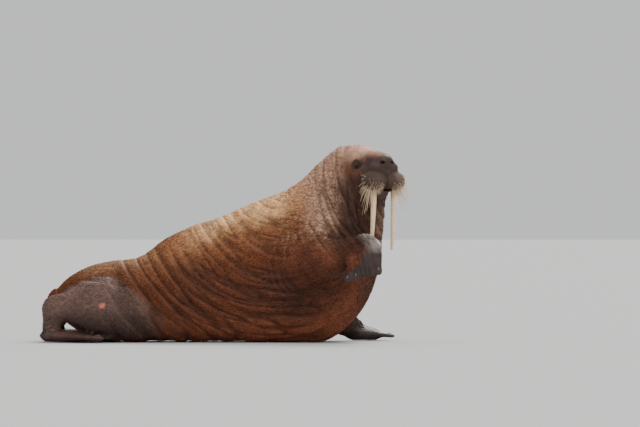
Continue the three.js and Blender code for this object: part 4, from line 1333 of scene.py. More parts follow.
def ribbon_tube(centres: np.ndarray, radii: np.ndarray, sides: int) -> tuple[np.ndarray, np.ndarray]:
    """Many closed tapering tubes at once.

    Args:
        centres: tube by step by three.
        radii: tube by step.
        sides: the number of sides.

    Returns:
        Points and three-sided faces of all the tubes.
    """
    tubes, steps, _ = centres.shape
    ahead = unit(np.gradient(centres, axis=1))
    side = unit(np.cross(ahead, [0.13, 0.31, 0.94]))
    over = np.cross(side, ahead)
    turn = 2 * np.pi * np.arange(sides) / sides
    ring = side[:, :, None] * np.cos(turn)[:, None] + over[:, :, None] * np.sin(turn)[:, None]
    points = centres[:, :, None] + ring * radii[:, :, None, None]
    faces = ring_faces(steps, sides)
    last = (steps - 1) * sides
    fan = np.arange(1, sides - 1)
    faces += [np.stack([0 * fan, fan + 1, fan], 1), np.stack([last + 0 * fan, last + fan, last + fan + 1], 1)]
    one = np.concatenate(faces)
    offset = np.arange(tubes)[:, None, None] * steps * sides
    return points.reshape(-1, 3), (one[None] + offset).reshape(-1, 3)


# Materials


class Nodes:
    """A small drawing board for one material's or group's nodes."""

    def __init__(self, tree: bpy.types.NodeTree) -> None:
        """Starts on a node tree."""
        self.tree = tree

    def add(self, kind: str, inputs: dict | None = None, **settings: object) -> bpy.types.Node:
        """Adds a node, sets its properties and plugs or sets its inputs.

        Args:
            kind: Blender's name of the node type.
            inputs: for each input's name or number, a value or an output socket.
            settings: properties of the node.

        Returns:
            The new node.
        """
        node = self.tree.nodes.new(kind)
        for name, value in settings.items():
            setattr(node, name, value)
        for name, value in (inputs or {}).items():
            if isinstance(value, bpy.types.NodeSocket):
                self.tree.links.new(value, node.inputs[name])
            else:
                node.inputs[name].default_value = value
        return node

    def maths(self, operation: str, *values: object) -> bpy.types.NodeSocket:
        """The result of a sum on numbers or sockets."""
        return self.add("ShaderNodeMath", dict(enumerate(values)), operation=operation).outputs[0]

    def shade(self, share: object, a: object, b: object) -> bpy.types.NodeSocket:
        """A mix of two colours, each a socket or three numbers."""
        ends = {n: (*c, 1.0) if isinstance(c, tuple) else c for n, c in ((6, a), (7, b))}
        return self.add("ShaderNodeMix", {0: share, **ends}, data_type="RGBA").outputs[2]

    def spread(self, value: object, low: float, high: float, to_low: float = 0.0, to_high: float = 1.0) -> object:
        """A number carried from one span to another."""
        inputs = {0: value, 1: low, 2: high, 3: to_low, 4: to_high}
        return self.add("ShaderNodeMapRange", inputs, clamp=True).outputs[0]

    def attribute(self, name: str, output: str = "Vector") -> bpy.types.NodeSocket:
        """What a piece stores on its points."""
        return self.add("ShaderNodeAttribute", attribute_name=name).outputs[output]


    def scaled(self, colour: object, share: object) -> bpy.types.NodeSocket:
        """A colour made lighter or darker by a share."""
        return self.add("ShaderNodeVectorMath", {0: colour, 3: share}, operation="SCALE").outputs[0]

    def surface(self, inputs: dict) -> None:
        """Ends a material in a principled surface with these inputs."""
        shader = self.add("ShaderNodeBsdfPrincipled", inputs)
        self.add("ShaderNodeOutputMaterial", {"Surface": shader.outputs[0]})

    def bumped(self, height: bpy.types.NodeSocket) -> bpy.types.NodeSocket:
        """The way the surface faces, bent by a height in metres."""
        return self.add("ShaderNodeBump", {"Height": height, "Strength": 1.0, "Distance": 1.0}).outputs[0]


def new_material(name: str) -> tuple[bpy.types.Material, Nodes]:
    """An empty material and the board for its nodes.

    Args:
        name: the material's name.

    Returns:
        The material and its board.
    """
    material = bpy.data.materials.new(name)
    material.use_nodes = True
    material.node_tree.nodes.clear()
    return material, Nodes(material.node_tree)


class GroupName(Enum):
    """The effects that several finishes share."""

    GRAIN = "skin_grain"
    FURROWS = "fine_furrows"


def grain_group() -> bpy.types.NodeTree:
    """Fine pebbled grain of skin: a height from 0 to 1 and a shade from 0 to 1.

    Returns:
        The shared group.
    """
    tree = bpy.data.node_groups.new(GroupName.GRAIN.value, "ShaderNodeTree")
    tree.interface.new_socket("Size", in_out="INPUT", socket_type="NodeSocketFloat").default_value = 0.01
    tree.interface.new_socket("Height", in_out="OUTPUT", socket_type="NodeSocketFloat")
    tree.interface.new_socket("Shade", in_out="OUTPUT", socket_type="NodeSocketFloat")
    board = Nodes(tree)
    entry, leave = board.add("NodeGroupInput"), board.add("NodeGroupOutput")
    scale = board.maths("DIVIDE", 1.0, entry.outputs["Size"])
    where = board.add("ShaderNodeTexCoord").outputs["Object"]
    cells = board.add("ShaderNodeTexVoronoi", {"Vector": where, "Scale": scale}, feature="SMOOTH_F1")
    rough = board.add("ShaderNodeTexNoise", {"Vector": where, "Scale": scale, "Detail": 4.0, "Roughness": 0.6})
    height = board.maths("ADD", board.maths("MULTIPLY", cells.outputs["Distance"], -0.6), rough.outputs[0])
    tree.links.new(height, leave.inputs["Height"])
    broad = board.maths("MULTIPLY", scale, 0.12)
    patch = board.add("ShaderNodeTexNoise", {"Vector": where, "Scale": broad, "Detail": 5.0, "Roughness": 0.6})
    tree.links.new(patch.outputs[0], leave.inputs["Shade"])
    return tree


def furrow_group() -> bpy.types.NodeTree:
    """Fine furrows that follow places stored on the skin: 1 in a furrow, 0 between.

    Returns:
        The shared group.
    """
    tree = bpy.data.node_groups.new(GroupName.FURROWS.value, "ShaderNodeTree")
    tree.interface.new_socket("Lie", in_out="INPUT", socket_type="NodeSocketVector")
    tree.interface.new_socket("Spacing", in_out="INPUT", socket_type="NodeSocketFloat").default_value = 0.02
    tree.interface.new_socket("Stretch", in_out="INPUT", socket_type="NodeSocketFloat").default_value = 6.0
    tree.interface.new_socket("Depth", in_out="OUTPUT", socket_type="NodeSocketFloat")
    board = Nodes(tree)
    entry, leave = board.add("NodeGroupInput"), board.add("NodeGroupOutput")
    parts = board.add("ShaderNodeSeparateXYZ", {0: entry.outputs["Lie"]})
    across = board.maths("DIVIDE", parts.outputs[0], entry.outputs["Spacing"])
    long = board.maths("MULTIPLY", entry.outputs["Spacing"], entry.outputs["Stretch"])
    along = board.maths("DIVIDE", parts.outputs[1], long)
    place = board.add("ShaderNodeCombineXYZ", {0: across, 1: along})
    detail = {"Scale": 1.0, "Detail": 2.0, "Roughness": 0.45}
    waves = board.add("ShaderNodeTexNoise", {"Vector": place.outputs[0], **detail})
    centred = board.maths("ABSOLUTE", board.maths("SUBTRACT", waves.outputs[0], 0.5))
    depth = board.spread(centred, 0.0, 0.16, 1.0, 0.0)
    tree.links.new(board.maths("MULTIPLY", depth, parts.outputs[2]), leave.inputs["Depth"])
    return tree


@dataclass(frozen=True)
class HideFinish:
    """The skin under its short coat."""

    name: str = "hide"
    roughness_dry: float = 0.72
    roughness_bare: float = 0.5
    shine: float = 0.25
    grain_size: float = 0.011
    grain_depth: float = 0.0016
    pad_grain_depth: float = 0.004
    pore_size: float = 0.028
    pore_depths: tuple[float, float] = (0.001, 0.005)
    flank_spacing: float = 0.026
    neck_spacing: float = 0.022
    fine_depth: float = 0.004
    # How dark the painted shade in the fine furrows is, and its colour.
    furrow_shade: float = 0.42
    furrow_shade_colour: Triple = (0.03, 0.014, 0.009)

    def make(self, groups: dict[GroupName, bpy.types.NodeTree]) -> bpy.types.Material:
        """Makes the material from colours and masks stored on the skin.

        Args:
            groups: the shared effects.

        Returns:
            The material.
        """
        material, board = new_material(self.name)
        colour = board.attribute("hide_colour", "Color")
        masks = board.add("ShaderNodeSeparateXYZ", {0: board.attribute("hide_masks")})
        bare, warty, pad = masks.outputs[0], masks.outputs[1], masks.outputs[2]
        grain_tree, furrow_tree = groups[GroupName.GRAIN], groups[GroupName.FURROWS]
        grain = board.add("ShaderNodeGroup", {"Size": self.grain_size}, node_tree=grain_tree)
        pores = board.add("ShaderNodeGroup", {"Size": self.pore_size}, node_tree=grain_tree)
        lies = (("flank_lie", self.flank_spacing), ("neck_lie", self.neck_spacing))
        flank, neck = (
            board.add("ShaderNodeGroup", {"Lie": board.attribute(name), "Spacing": spacing}, node_tree=furrow_tree)
            for name, spacing in lies
        )
        lines = board.maths("MAXIMUM", flank.outputs["Depth"], neck.outputs["Depth"])
        # Painted shade in the fine furrows: the colour drawn towards a near-black brown in each.
        darker = board.shade(board.maths("MULTIPLY", lines, self.furrow_shade), colour, self.furrow_shade_colour)
        mottled = board.spread(grain.outputs["Shade"], 0.3, 0.7, 0.8, 1.2)
        pored = board.spread(pores.outputs["Shade"], 0.35, 0.65, 0.86, 1.14)
        value = board.maths("MULTIPLY", mottled, pored)
        tinted = board.scaled(darker, value)
        rough = board.spread(bare, 0.0, 1.0, self.roughness_dry, self.roughness_bare)
        rough = board.maths("ADD", rough, board.spread(grain.outputs["Height"], 0.0, 1.0, -0.08, 0.08))
        height = board.maths("MULTIPLY", lines, -self.fine_depth)
        pebble_depth = board.spread(warty, 0.0, 1.0, *self.pore_depths)
        pebbled = board.maths("MULTIPLY", pores.outputs["Height"], pebble_depth)
        grain_depth = board.spread(pad, 0.0, 1.0, self.grain_depth, self.pad_grain_depth)
        grained = board.maths("MULTIPLY", grain.outputs["Height"], grain_depth)
        height = board.maths("ADD", height, board.maths("ADD", pebbled, grained))
        bent = board.bumped(height)
        board.surface({"Base Color": tinted, "Roughness": rough, "Specular IOR Level": self.shine, "Normal": bent})
        return material


@dataclass(frozen=True)
class LidFinish:
    """The dark, moist rims of the lids."""

    name: str = "lid_rim"
    colour: Triple = (0.045, 0.026, 0.02)
    roughness: float = 0.32
    grain_size: float = 0.004
    grain_depth: float = 0.0005

    def make(self, groups: dict[GroupName, bpy.types.NodeTree]) -> bpy.types.Material:
        """Makes the material with a fine grain.

        Args:
            groups: the shared effects.

        Returns:
            The material.
        """
        material, board = new_material(self.name)
        grain = board.add("ShaderNodeGroup", {"Size": self.grain_size}, node_tree=groups[GroupName.GRAIN])
        value = board.spread(grain.outputs["Shade"], 0.3, 0.7, 0.7, 1.4)
        colour = board.scaled(self.colour, value)
        height = board.maths("MULTIPLY", grain.outputs["Height"], self.grain_depth)
        board.surface({"Base Color": colour, "Roughness": self.roughness, "Normal": board.bumped(height)})
        return material


@dataclass(frozen=True)
class CoatFinish:
    """The short hairs."""

    name: str = "coat"
    roughness: float = 0.62
    shine: float = 0.3
    streaks: float = 320.0

    def make(self) -> bpy.types.Material:
        """Makes the material from each tuft's stored colour.

        Returns:
            The material.
        """
        material, board = new_material(self.name)
        colour = board.attribute("tuft_colour", "Color")
        where = board.add("ShaderNodeTexCoord").outputs["Object"]
        streak = board.add("ShaderNodeTexNoise", {"Vector": where, "Scale": self.streaks, "Detail": 2.0})
        value = board.spread(streak.outputs[0], 0.3, 0.7, 0.82, 1.18)
        tinted = board.scaled(colour, value)
        board.surface({"Base Color": tinted, "Roughness": self.roughness, "Specular IOR Level": self.shine})
        return material


@dataclass(frozen=True)
class HornFinish:
    """Ivory, nail or whisker: a pale horn with fine lengthwise lines, darker towards its root."""

    name: str
    pale: Triple
    dark: Triple
    roughness: float
    line_size: float
    line_depth: float
    root_z: float = 9.0
    root_reach: float = 1.0

    def make(self) -> bpy.types.Material:
        """Makes the material, darkest above root_z, in metres from the frame's origin.

        Returns:
            The material.
        """
        material, board = new_material(self.name)
        where = board.add("ShaderNodeTexCoord").outputs["Object"]
        squash = board.add("ShaderNodeMapping", {"Vector": where, "Scale": (1.0, 1.0, 0.06)})
        lines = board.add(
            "ShaderNodeTexNoise", {"Vector": squash.outputs[0], "Scale": 1 / self.line_size, "Detail": 3.0}
        )
        cracks = board.maths("ABSOLUTE", board.maths("SUBTRACT", lines.outputs[0], 0.5))
        cracks = board.spread(cracks, 0.0, 0.03, 1.0, 0.0)
        blotch = board.add("ShaderNodeTexNoise", {"Vector": where, "Scale": 26.0, "Detail": 4.0})
        height = board.add("ShaderNodeSeparateXYZ", {0: where}).outputs[2]
        root = board.spread(height, self.root_z - self.root_reach, self.root_z, 0.0, 0.8)
        stain = board.maths("ADD", root, board.spread(blotch.outputs[0], 0.45, 0.75, 0.0, 0.35))
        stain = board.maths("ADD", stain, board.maths("MULTIPLY", cracks, 0.35))
        colour = board.shade(board.spread(stain, 0.0, 1.0), self.pale, self.dark)
        rough = board.spread(blotch.outputs[0], 0.3, 0.7, self.roughness - 0.06, self.roughness + 0.1)
        depth = board.maths("MULTIPLY", cracks, -self.line_depth)
        board.surface({"Base Color": colour, "Roughness": rough, "Normal": board.bumped(depth)})
        return material


@dataclass(frozen=True)
class EyeFinish:
    """A dark brown, wet eye with a faint iris."""

    name: str = "eye"
    centre: Triple = (0.0, 0.0, 0.0)
    gaze: Triple = (0.0, -1.0, 0.0)
    white: Triple = (0.16, 0.075, 0.055)
    iris: tuple[Triple, Triple] = ((0.035, 0.014, 0.007), (0.10, 0.045, 0.02))
    pupil: Triple = (0.004, 0.003, 0.003)
    roughness: float = 0.1
    wet: float = 0.3

    def make(self) -> bpy.types.Material:
        """Makes the material round the eye's centre, in metres.

        Returns:
            The material.
        """
        material, board = new_material(self.name)
        where = board.add("ShaderNodeTexCoord").outputs["Object"]
        out = board.add("ShaderNodeVectorMath", {0: where, 1: self.centre}, operation="SUBTRACT").outputs[0]
        out = board.add("ShaderNodeVectorMath", {0: out}, operation="NORMALIZE").outputs[0]
        facing = board.add("ShaderNodeVectorMath", {0: out, 1: self.gaze}, operation="DOT_PRODUCT").outputs["Value"]
        iris = board.spread(facing, 0.74, 0.8)
        pupil = board.spread(facing, 0.91, 0.94)
        flecks = board.add("ShaderNodeTexNoise", {"Vector": where, "Scale": 500.0, "Detail": 3.0})
        brown = board.shade(flecks.outputs[0], *self.iris)
        colour = board.shade(iris, self.white, brown)
        colour = board.shade(pupil, colour, self.pupil)
        board.surface({"Base Color": colour, "Roughness": self.roughness, "Coat Weight": self.wet})
        return material


# The pieces


FLESH = (
    "neck", "chest", "belly", "hips", "tail", "head", "nose", "lower_jaw",
    "right_whisker_pad", "left_whisker_pad",
    "right_foreleg", "left_foreleg", "right_foreflipper", "left_foreflipper",
    "right_hind_leg", "left_hind_leg", "right_hind_flipper", "left_hind_flipper",
)


@dataclass
class Hide:
    """The one skin over all the flesh."""

    body: Body
    relief: Relief
    floor_gap: float = 0.6
    grids: tuple[Grid, Grid, Grid] = (
        Grid(((-140, 1650, 12.5), (1650, 2190, 9.0), (2190, 2640, 4.6), (2640, 2700, 12.0))),
        Grid(((-920, -760, 12.0), (-760, -300, 6.0), (-300, 680, 13.0))),
        Grid(((-20, 700, 12.5), (700, 1050, 9.0), (1050, 1450, 4.6), (1450, 1460, 10.0))),
    )

    def build(self, finish: bpy.types.Material) -> bpy.types.Object:
        """Makes the skin and stores its colours and masks.

        Args:
            finish: the skin's material.

        Returns:
            The linked piece.
        """
        net = SkinNet(self.body.distance, self.grids)
        bare, ahead, faces = net.build()
        read = self.relief.read(bare)
        self.points = bare - ahead * read["depth"][:, None]
        self.points[:, 2] = np.maximum(self.points[:, 2], self.floor_gap)
        self.ahead, self.faces, self.found = ahead, faces, read
        piece = new_piece("walrus_hide", self.body.to_frame(self.points), faces)
        # The stored colour holds the painted light and shade as well as the hide's own colours.
        set_colour(piece, "hide_colour", read["colour"])
        set_vector(piece, "hide_masks", np.stack([read["bare"], read["warty"], read["pad"]], axis=1))
        for name, rows in (("flank_lie", read["flank"]), ("neck_lie", read["throat"])):
            set_vector(piece, name, rows * [MM, MM, 1.0])
        piece.data.materials.append(finish)
        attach(piece, "root")
        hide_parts(*FLESH)
        LOG.info("hide: %d points, %d faces", len(bare), len(faces))
        return piece


def closed_loop_tube(centres: np.ndarray, radii: np.ndarray, sides: int) -> tuple[np.ndarray, np.ndarray]:
    """A tube along a closed loop.

    Args:
        centres: the loop's points.
        radii: the tube's radius at each.
        sides: the number of sides.

    Returns:
        Points and four-sided faces.
    """
    count = len(centres)
    ahead = unit(np.roll(centres, -1, axis=0) - np.roll(centres, 1, axis=0))
    out = unit(centres - centres.mean(axis=0))
    side = unit(np.cross(ahead, out))
    over = np.cross(side, ahead)
    turn = 2 * np.pi * np.arange(sides) / sides
    ring = side[:, None] * np.cos(turn)[:, None] + over[:, None] * np.sin(turn)[:, None]
    points = centres[:, None] + ring * radii[:, None, None]
    i, j = np.meshgrid(np.arange(count), np.arange(sides), indexing="ij")
    at = lambda a, b: (a % count) * sides + b % sides
    faces = np.stack([at(i, j), at(i, j + 1), at(i + 1, j + 1), at(i + 1, j)], axis=-1)
    return points.reshape(-1, 3), faces.reshape(-1, 4)


def skin_of_turning(rings: np.ndarray) -> tuple[np.ndarray, np.ndarray]:
    """A closed surface over rings of points, each end drawn to its middle.

    Args:
        rings: ring by point by three.

    Returns:
        Points and three-sided faces.
    """
    count, sides, _ = rings.shape
    points = np.concatenate([rings.reshape(-1, 3), rings[0].mean(axis=0)[None], rings[-1].mean(axis=0)[None]])
    j = np.arange(sides)
    k = (j + 1) % sides
    faces = ring_faces(count, sides)
    last = (count - 1) * sides
    first_cap, last_cap = count * sides, count * sides + 1
    faces += [np.stack([k, j, 0 * j + first_cap], 1), np.stack([last + j, last + k, 0 * j + last_cap], 1)]
    return points, np.concatenate(faces)


@dataclass
class Eyes:
    """Two eyeballs and the rims of their lids."""

    body: Body
    around: int = 40
    rim_steps: int = 48
    upper_rim: float = 3.4
    lower_rim: float = 2.2
    rim_sides: int = 8
    rim_inset: float = 1.5
    gaze: Triple = (0.42, 0.9, 0.05)
    swell: float = 1.3

    def build(self, lid_finish: bpy.types.Material) -> None:
        """Makes both eyes.

        Args:
            lid_finish: the rims' material.
        """
        for side, name in ((-1, "right"), (1, "left")):
            self._ball(side, name)
            self._rims(side, name, lid_finish)

    def _ball(self, side: int, name: str) -> None:
        """Makes one eyeball, with a slight swell over its iris.

        Args:
            side: -1 for her right, 1 for her left.
            name: that side's name.
        """
        head, eye = self.body.head, self.body.head.eye
        gaze = np.array(self.gaze) * [1, side, 1]
        gaze = gaze / np.linalg.norm(gaze)
        polar = np.linspace(0.04, math.pi - 0.04, self.around // 2)
        turn = 2 * np.pi * np.arange(self.around) / self.around
        aside = unit(np.cross(gaze, [0.0, 0.0, 1.0]))
        above = np.cross(aside, gaze)
        ring = aside * np.cos(turn)[:, None] + above * np.sin(turn)[:, None]
        way = gaze * np.cos(polar)[:, None, None] + ring[None] * np.sin(polar)[:, None, None]
        radius = eye.radius + self.swell * ramp(0.72, 0.1, polar)[:, None, None]
        middle = np.array([eye.forward, side * eye.side, 0.0])
        rings = head.out_of(middle + way * radius)
        points, faces = skin_of_turning(rings[::-1])
        piece = new_piece(f"{name}_eyeball", self.body.to_frame(points), faces)
        centre = self.body.to_frame(head.out_of(middle))
        piece.data.materials.append(EyeFinish(f"{name}_eye", tuple(centre), tuple(gaze @ head.axes)).make())
        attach(piece, "root")
        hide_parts(f"{name}_eye")
        LOG.info("%s_eyeball: %d faces", name, len(faces))

    def _rims(self, side: int, name: str, finish: bpy.types.Material) -> None:
        """Makes the thick rims of the upper and lower lid round the opening.

        Args:
            side: -1 for her right, 1 for her left.
            name: that side's name.
            finish: the rims' material.
        """
        head, eye = self.body.head, self.body.head.eye
        turn = 2 * np.pi * np.arange(self.rim_steps) / self.rim_steps
        along = (eye.open_long - self.rim_inset) * np.cos(turn)
        high = (eye.open_high - self.rim_inset) * np.sin(turn) * np.abs(np.sin(turn)) ** 0.25
        out = np.sqrt(np.maximum(eye.lid**2 - along**2 - high**2, 1.0))
        centre = np.array([eye.forward, 0.0, 0.0])
        loop = np.stack([along, side * (eye.side + out - 1.0), high], axis=1) + centre
        radii = np.where(high > 0, self.upper_rim, self.lower_rim) * (0.55 + 0.45 * np.abs(np.sin(turn)))
        points, faces = closed_loop_tube(head.out_of(loop), radii, self.rim_sides)
        piece = new_piece(f"{name}_eyelids", self.body.to_frame(points), faces)
        piece.data.materials.append(finish)
        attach(piece, "root")
        LOG.info("%s_eyelids: %d faces", name, len(faces))


@dataclass
class Tusks:
    """The two tusks: slightly oval, fluted, worn blunt."""

    body: Body
    forward: float = 178.0
    side: float = 82.0
    top: float = -120.0
    length: float = 505.0
    root_radius: float = 23.0
    tip_radius: float = 10.0
    bend: float = -34.0
    splay: float = 5.0
    deep: float = 1.12
    wide: float = 0.94
    taper: float = 1.4
    blunt: float = 0.022
    flute: float = 0.035
    waver: float = 0.03
    around: int = 36
    steps: int = 70

    def build(self, finish: bpy.types.Material) -> None:
        """Makes both tusks.

        Args:
            finish: the tusks' material.
        """
        for side, name in ((-1, "right"), (1, "left")):
            t = np.linspace(0.0, 1.0, self.steps)
            turn = 2 * np.pi * np.arange(self.around) / self.around
            radius = self.root_radius + (self.tip_radius - self.root_radius) * t**self.taper
            blunt = np.sqrt(np.clip((1.0 - t) / self.blunt, 0.0, 1.0))
            radius = radius * (0.12 + 0.88 * blunt)
            flute = 1.0 - self.flute * np.exp(-((np.cos(turn)) ** 2) / 0.05) * (t < 0.97)[:, None]
            place = np.stack([turn[None] * 4 / np.pi + 0 * t[:, None], 9.0 * t[:, None] + 0 * turn[None]], axis=-1)
            waver = noise(np.concatenate([place, np.full((*place.shape[:2], 1), 3.0 + side)], -1).reshape(-1, 3), 17)
            waver = 1.0 + self.waver * (waver.reshape(self.steps, self.around) - 0.5)
            wide = radius[:, None] * flute * waver
            middle = np.stack(
                [self.forward + self.bend * t * t, side * (self.side + self.splay * t), self.top - self.length * t], 1
            )
            ring = np.stack([self.deep * np.cos(turn), self.wide * np.sin(turn), 0 * turn], axis=1)
            rings = middle[:, None] + ring[None] * wide[..., None]
            points, faces = skin_of_turning(self.body.head.out_of(rings.reshape(-1, 3)).reshape(rings.shape))
            piece = new_piece(f"{name}_ivory", self.body.to_frame(points), faces[:, ::-1])
            piece.data.materials.append(finish)
            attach(piece, "root")
            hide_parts(f"{name}_tusk")
            LOG.info("%s_ivory: %d faces", name, len(faces))


@dataclass
class Whiskers:
    """Stiff, pale whiskers in rows over both pads, longest at the lower outer corner."""

    body: Body
    rows: int = 14
    per_row: int = 14
    steps: int = 7
    sides: int = 4
    root_radius: float = 1.6
    tip_radius: float = 0.6
    shortest: float = 11.0
    longest: float = 118.0
    sunk: float = 9.0
    top_rise: float = 28.0
    rise_span: float = 96.0
    inner_turn: float = -28.0
    turn_span: float = 124.0
    stray: float = 5.0
    hook: float = 0.10

    def roots(self, side: int, seed: int) -> tuple[np.ndarray, np.ndarray, np.ndarray]:
        """Where the whiskers of one pad stand and which way each leaves the skin.

        Args:
            side: -1 for her right, 1 for her left.
            seed: which stream of numbers.

        Returns:
            Roots, outward ways in the head's frame, and how long each whisker is from 0 to 1.
        """
        rng = np.random.default_rng(seed)
        row, k = (a.ravel() for a in np.meshgrid(np.arange(self.rows), np.arange(self.per_row), indexing="ij"))
        count = len(row)
        outer_share = ramp(0.3, 0.7, k / self.per_row) * (1.0 if side > 0 else 0.3)
        chance = np.maximum(ramp(0.22, 0.52, row / self.rows), outer_share)
        keep = hashed(np.stack([row, k, 0 * k], axis=1), 70 + seed) < chance
        down, round_pad = (row + 0.5) / self.rows, (k + 0.5 * (row % 2) + 0.25) / self.per_row
        rise = np.radians(self.top_rise - self.rise_span * down + self.stray * (rng.random(count) - 0.5))
        turn = np.radians(self.inner_turn + self.turn_span * round_pad + self.stray * (rng.random(count) - 0.5))
        way = np.stack([np.cos(rise) * np.cos(turn), side * np.cos(rise) * np.sin(turn), np.sin(rise)], axis=1)
        forward, aside, up = self.body.head.pad.at
        start = np.array([forward, side * (aside - 6.0), up])
        low, high = np.zeros(count), np.full(count, 160.0)
        for _ in range(24):
            middle = (low + high) / 2
            inside = self.body.head.distance(self.body.head.out_of(start + way * middle[:, None])) < 0
            low, high = np.where(inside, middle, low), np.where(inside, high, middle)
        roots = start + way * (low - 3.5)[:, None]
        low, outer = ramp(0.25, 1.0, row / self.rows), ramp(0.3, 1.0, k / self.per_row)
        share = np.clip(0.24 * low + 0.7 * low * outer + 0.34 * outer, 0, 1) * (0.6 + 0.4 * rng.random(count))
        return roots[keep], way[keep], share[keep]

    def build(self, finish: bpy.types.Material) -> None:
        """Makes the whiskers of both pads.

        Args:
            finish: the whiskers' material.
        """
        head = self.body.head
        for side, name, seed in ((-1, "right", 5), (1, "left", 6)):
            roots, way, share = self.roots(side, seed)
            rng = np.random.default_rng(seed + 50)
            length = self.shortest + (self.longest - self.shortest) * share**1.2
            t = np.concatenate([[-0.12], np.linspace(0.0, 1.0, self.steps)])
            out = unit(way + np.array([0.12, side * 0.1, -0.22]) + 0.22 * (rng.random(way.shape) - 0.5))
            droop = 0.12 + 0.34 * share + 0.25 * rng.random(len(roots))
            reach = t[None] * length[:, None]
            reach[:, 0] = -self.sunk
            curve = roots[:, None] + out[:, None] * reach[..., None]
            clear = np.maximum(t, 0.0)
            curve[..., 2] -= droop[:, None] * length[:, None] * clear[None] ** 2
            curve[..., 0] += self.hook * length[:, None] * clear[None] ** 2
            radius = self.root_radius + (self.tip_radius - self.root_radius) * clear
            radii = np.tile(radius, (len(roots), 1)) * (0.8 + 0.4 * rng.random(len(roots)))[:, None]
            radii = radii * (0.7 + 0.3 * share)[:, None]
            centres = head.out_of(curve.reshape(-1, 3)).reshape(curve.shape)
            points, faces = ribbon_tube(centres, radii, self.sides)
            piece = new_piece(f"{name}_whiskers", self.body.to_frame(points), faces)
            piece.data.materials.append(finish)
            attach(piece, "root")
            LOG.info("%s_whiskers: %d whiskers, %d faces", name, len(roots), len(faces))


@dataclass
class Nails:
    """Small horny nails, set back from the edge of each flipper."""

    body: Body
    length: float = 26.0
    width: float = 11.0
    height: float = 9.0
    set_back: float = 44.0
    rings: int = 9
    around: int = 12

    def build(self, finish: bpy.types.Material) -> None:
        """Makes the nails of all four flippers as one piece.

        Args:
            finish: the nails' material.
        """
        body = self.body
        points, faces, start = [], [], 0
        for flipper, upper in ((body.right_hand, 1), (body.left_hand, -1), (body.feet[0], -1), (body.feet[1], -1)):
            for toe in flipper.toes:
                rings = self._nail(flipper, toe, upper)
                p, f = skin_of_turning(rings)
                points.append(p)
                faces.append(f + start)
                start += len(p)
        piece = new_piece("nails", body.to_frame(np.concatenate(points)), np.concatenate(faces))
        piece.data.materials.append(finish)
        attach(piece, "root")
        LOG.info("nails: %d faces", sum(len(f) for f in faces))

    def _nail(self, flipper: Flipper, toe: Toe, upper: int) -> np.ndarray:
        """Rings of one nail, laid along its toe on the flipper's upper face.

        Args:
            flipper: the flipper it is on.
            toe: its toe.
            upper: 1 or -1, the way out of the web.

        Returns:
            Ring by point by three, in modelled millimetres.
        """
        tip, start = np.array(toe.tip), np.array([flipper.palm_back, toe.start])
        way = (tip - start) / np.linalg.norm(tip - start)
        base = tip + way * (toe.radius - self.set_back)
        lift = toe.radius * flipper.thick - 3.0
        t = np.linspace(0.0, 1.0, self.rings)
        turn = 2 * np.pi * np.arange(self.around) / self.around
        swell = np.sqrt(np.clip(1.0 - (2.0 * t - 1.0) ** 2, 0.02, 1.0)) * (1.15 - 0.5 * t)
        along = base[None] + way[None] * (self.length * (t - 0.5))[:, None]
        aside = np.array([-way[1], way[0]])
        flat = along[:, None] + aside * (self.width / 2 * swell[:, None] * np.cos(turn))[..., None]
        tall = upper * (lift + 2.0 * t[:, None] + self.height / 2 * swell[:, None] * np.sin(turn))
        rings = np.concatenate([flat, tall[..., None]], axis=-1)
        rings = flipper.out_of(rings.reshape(-1, 3)).reshape(rings.shape)
        return rings if upper > 0 else rings[:, ::-1]


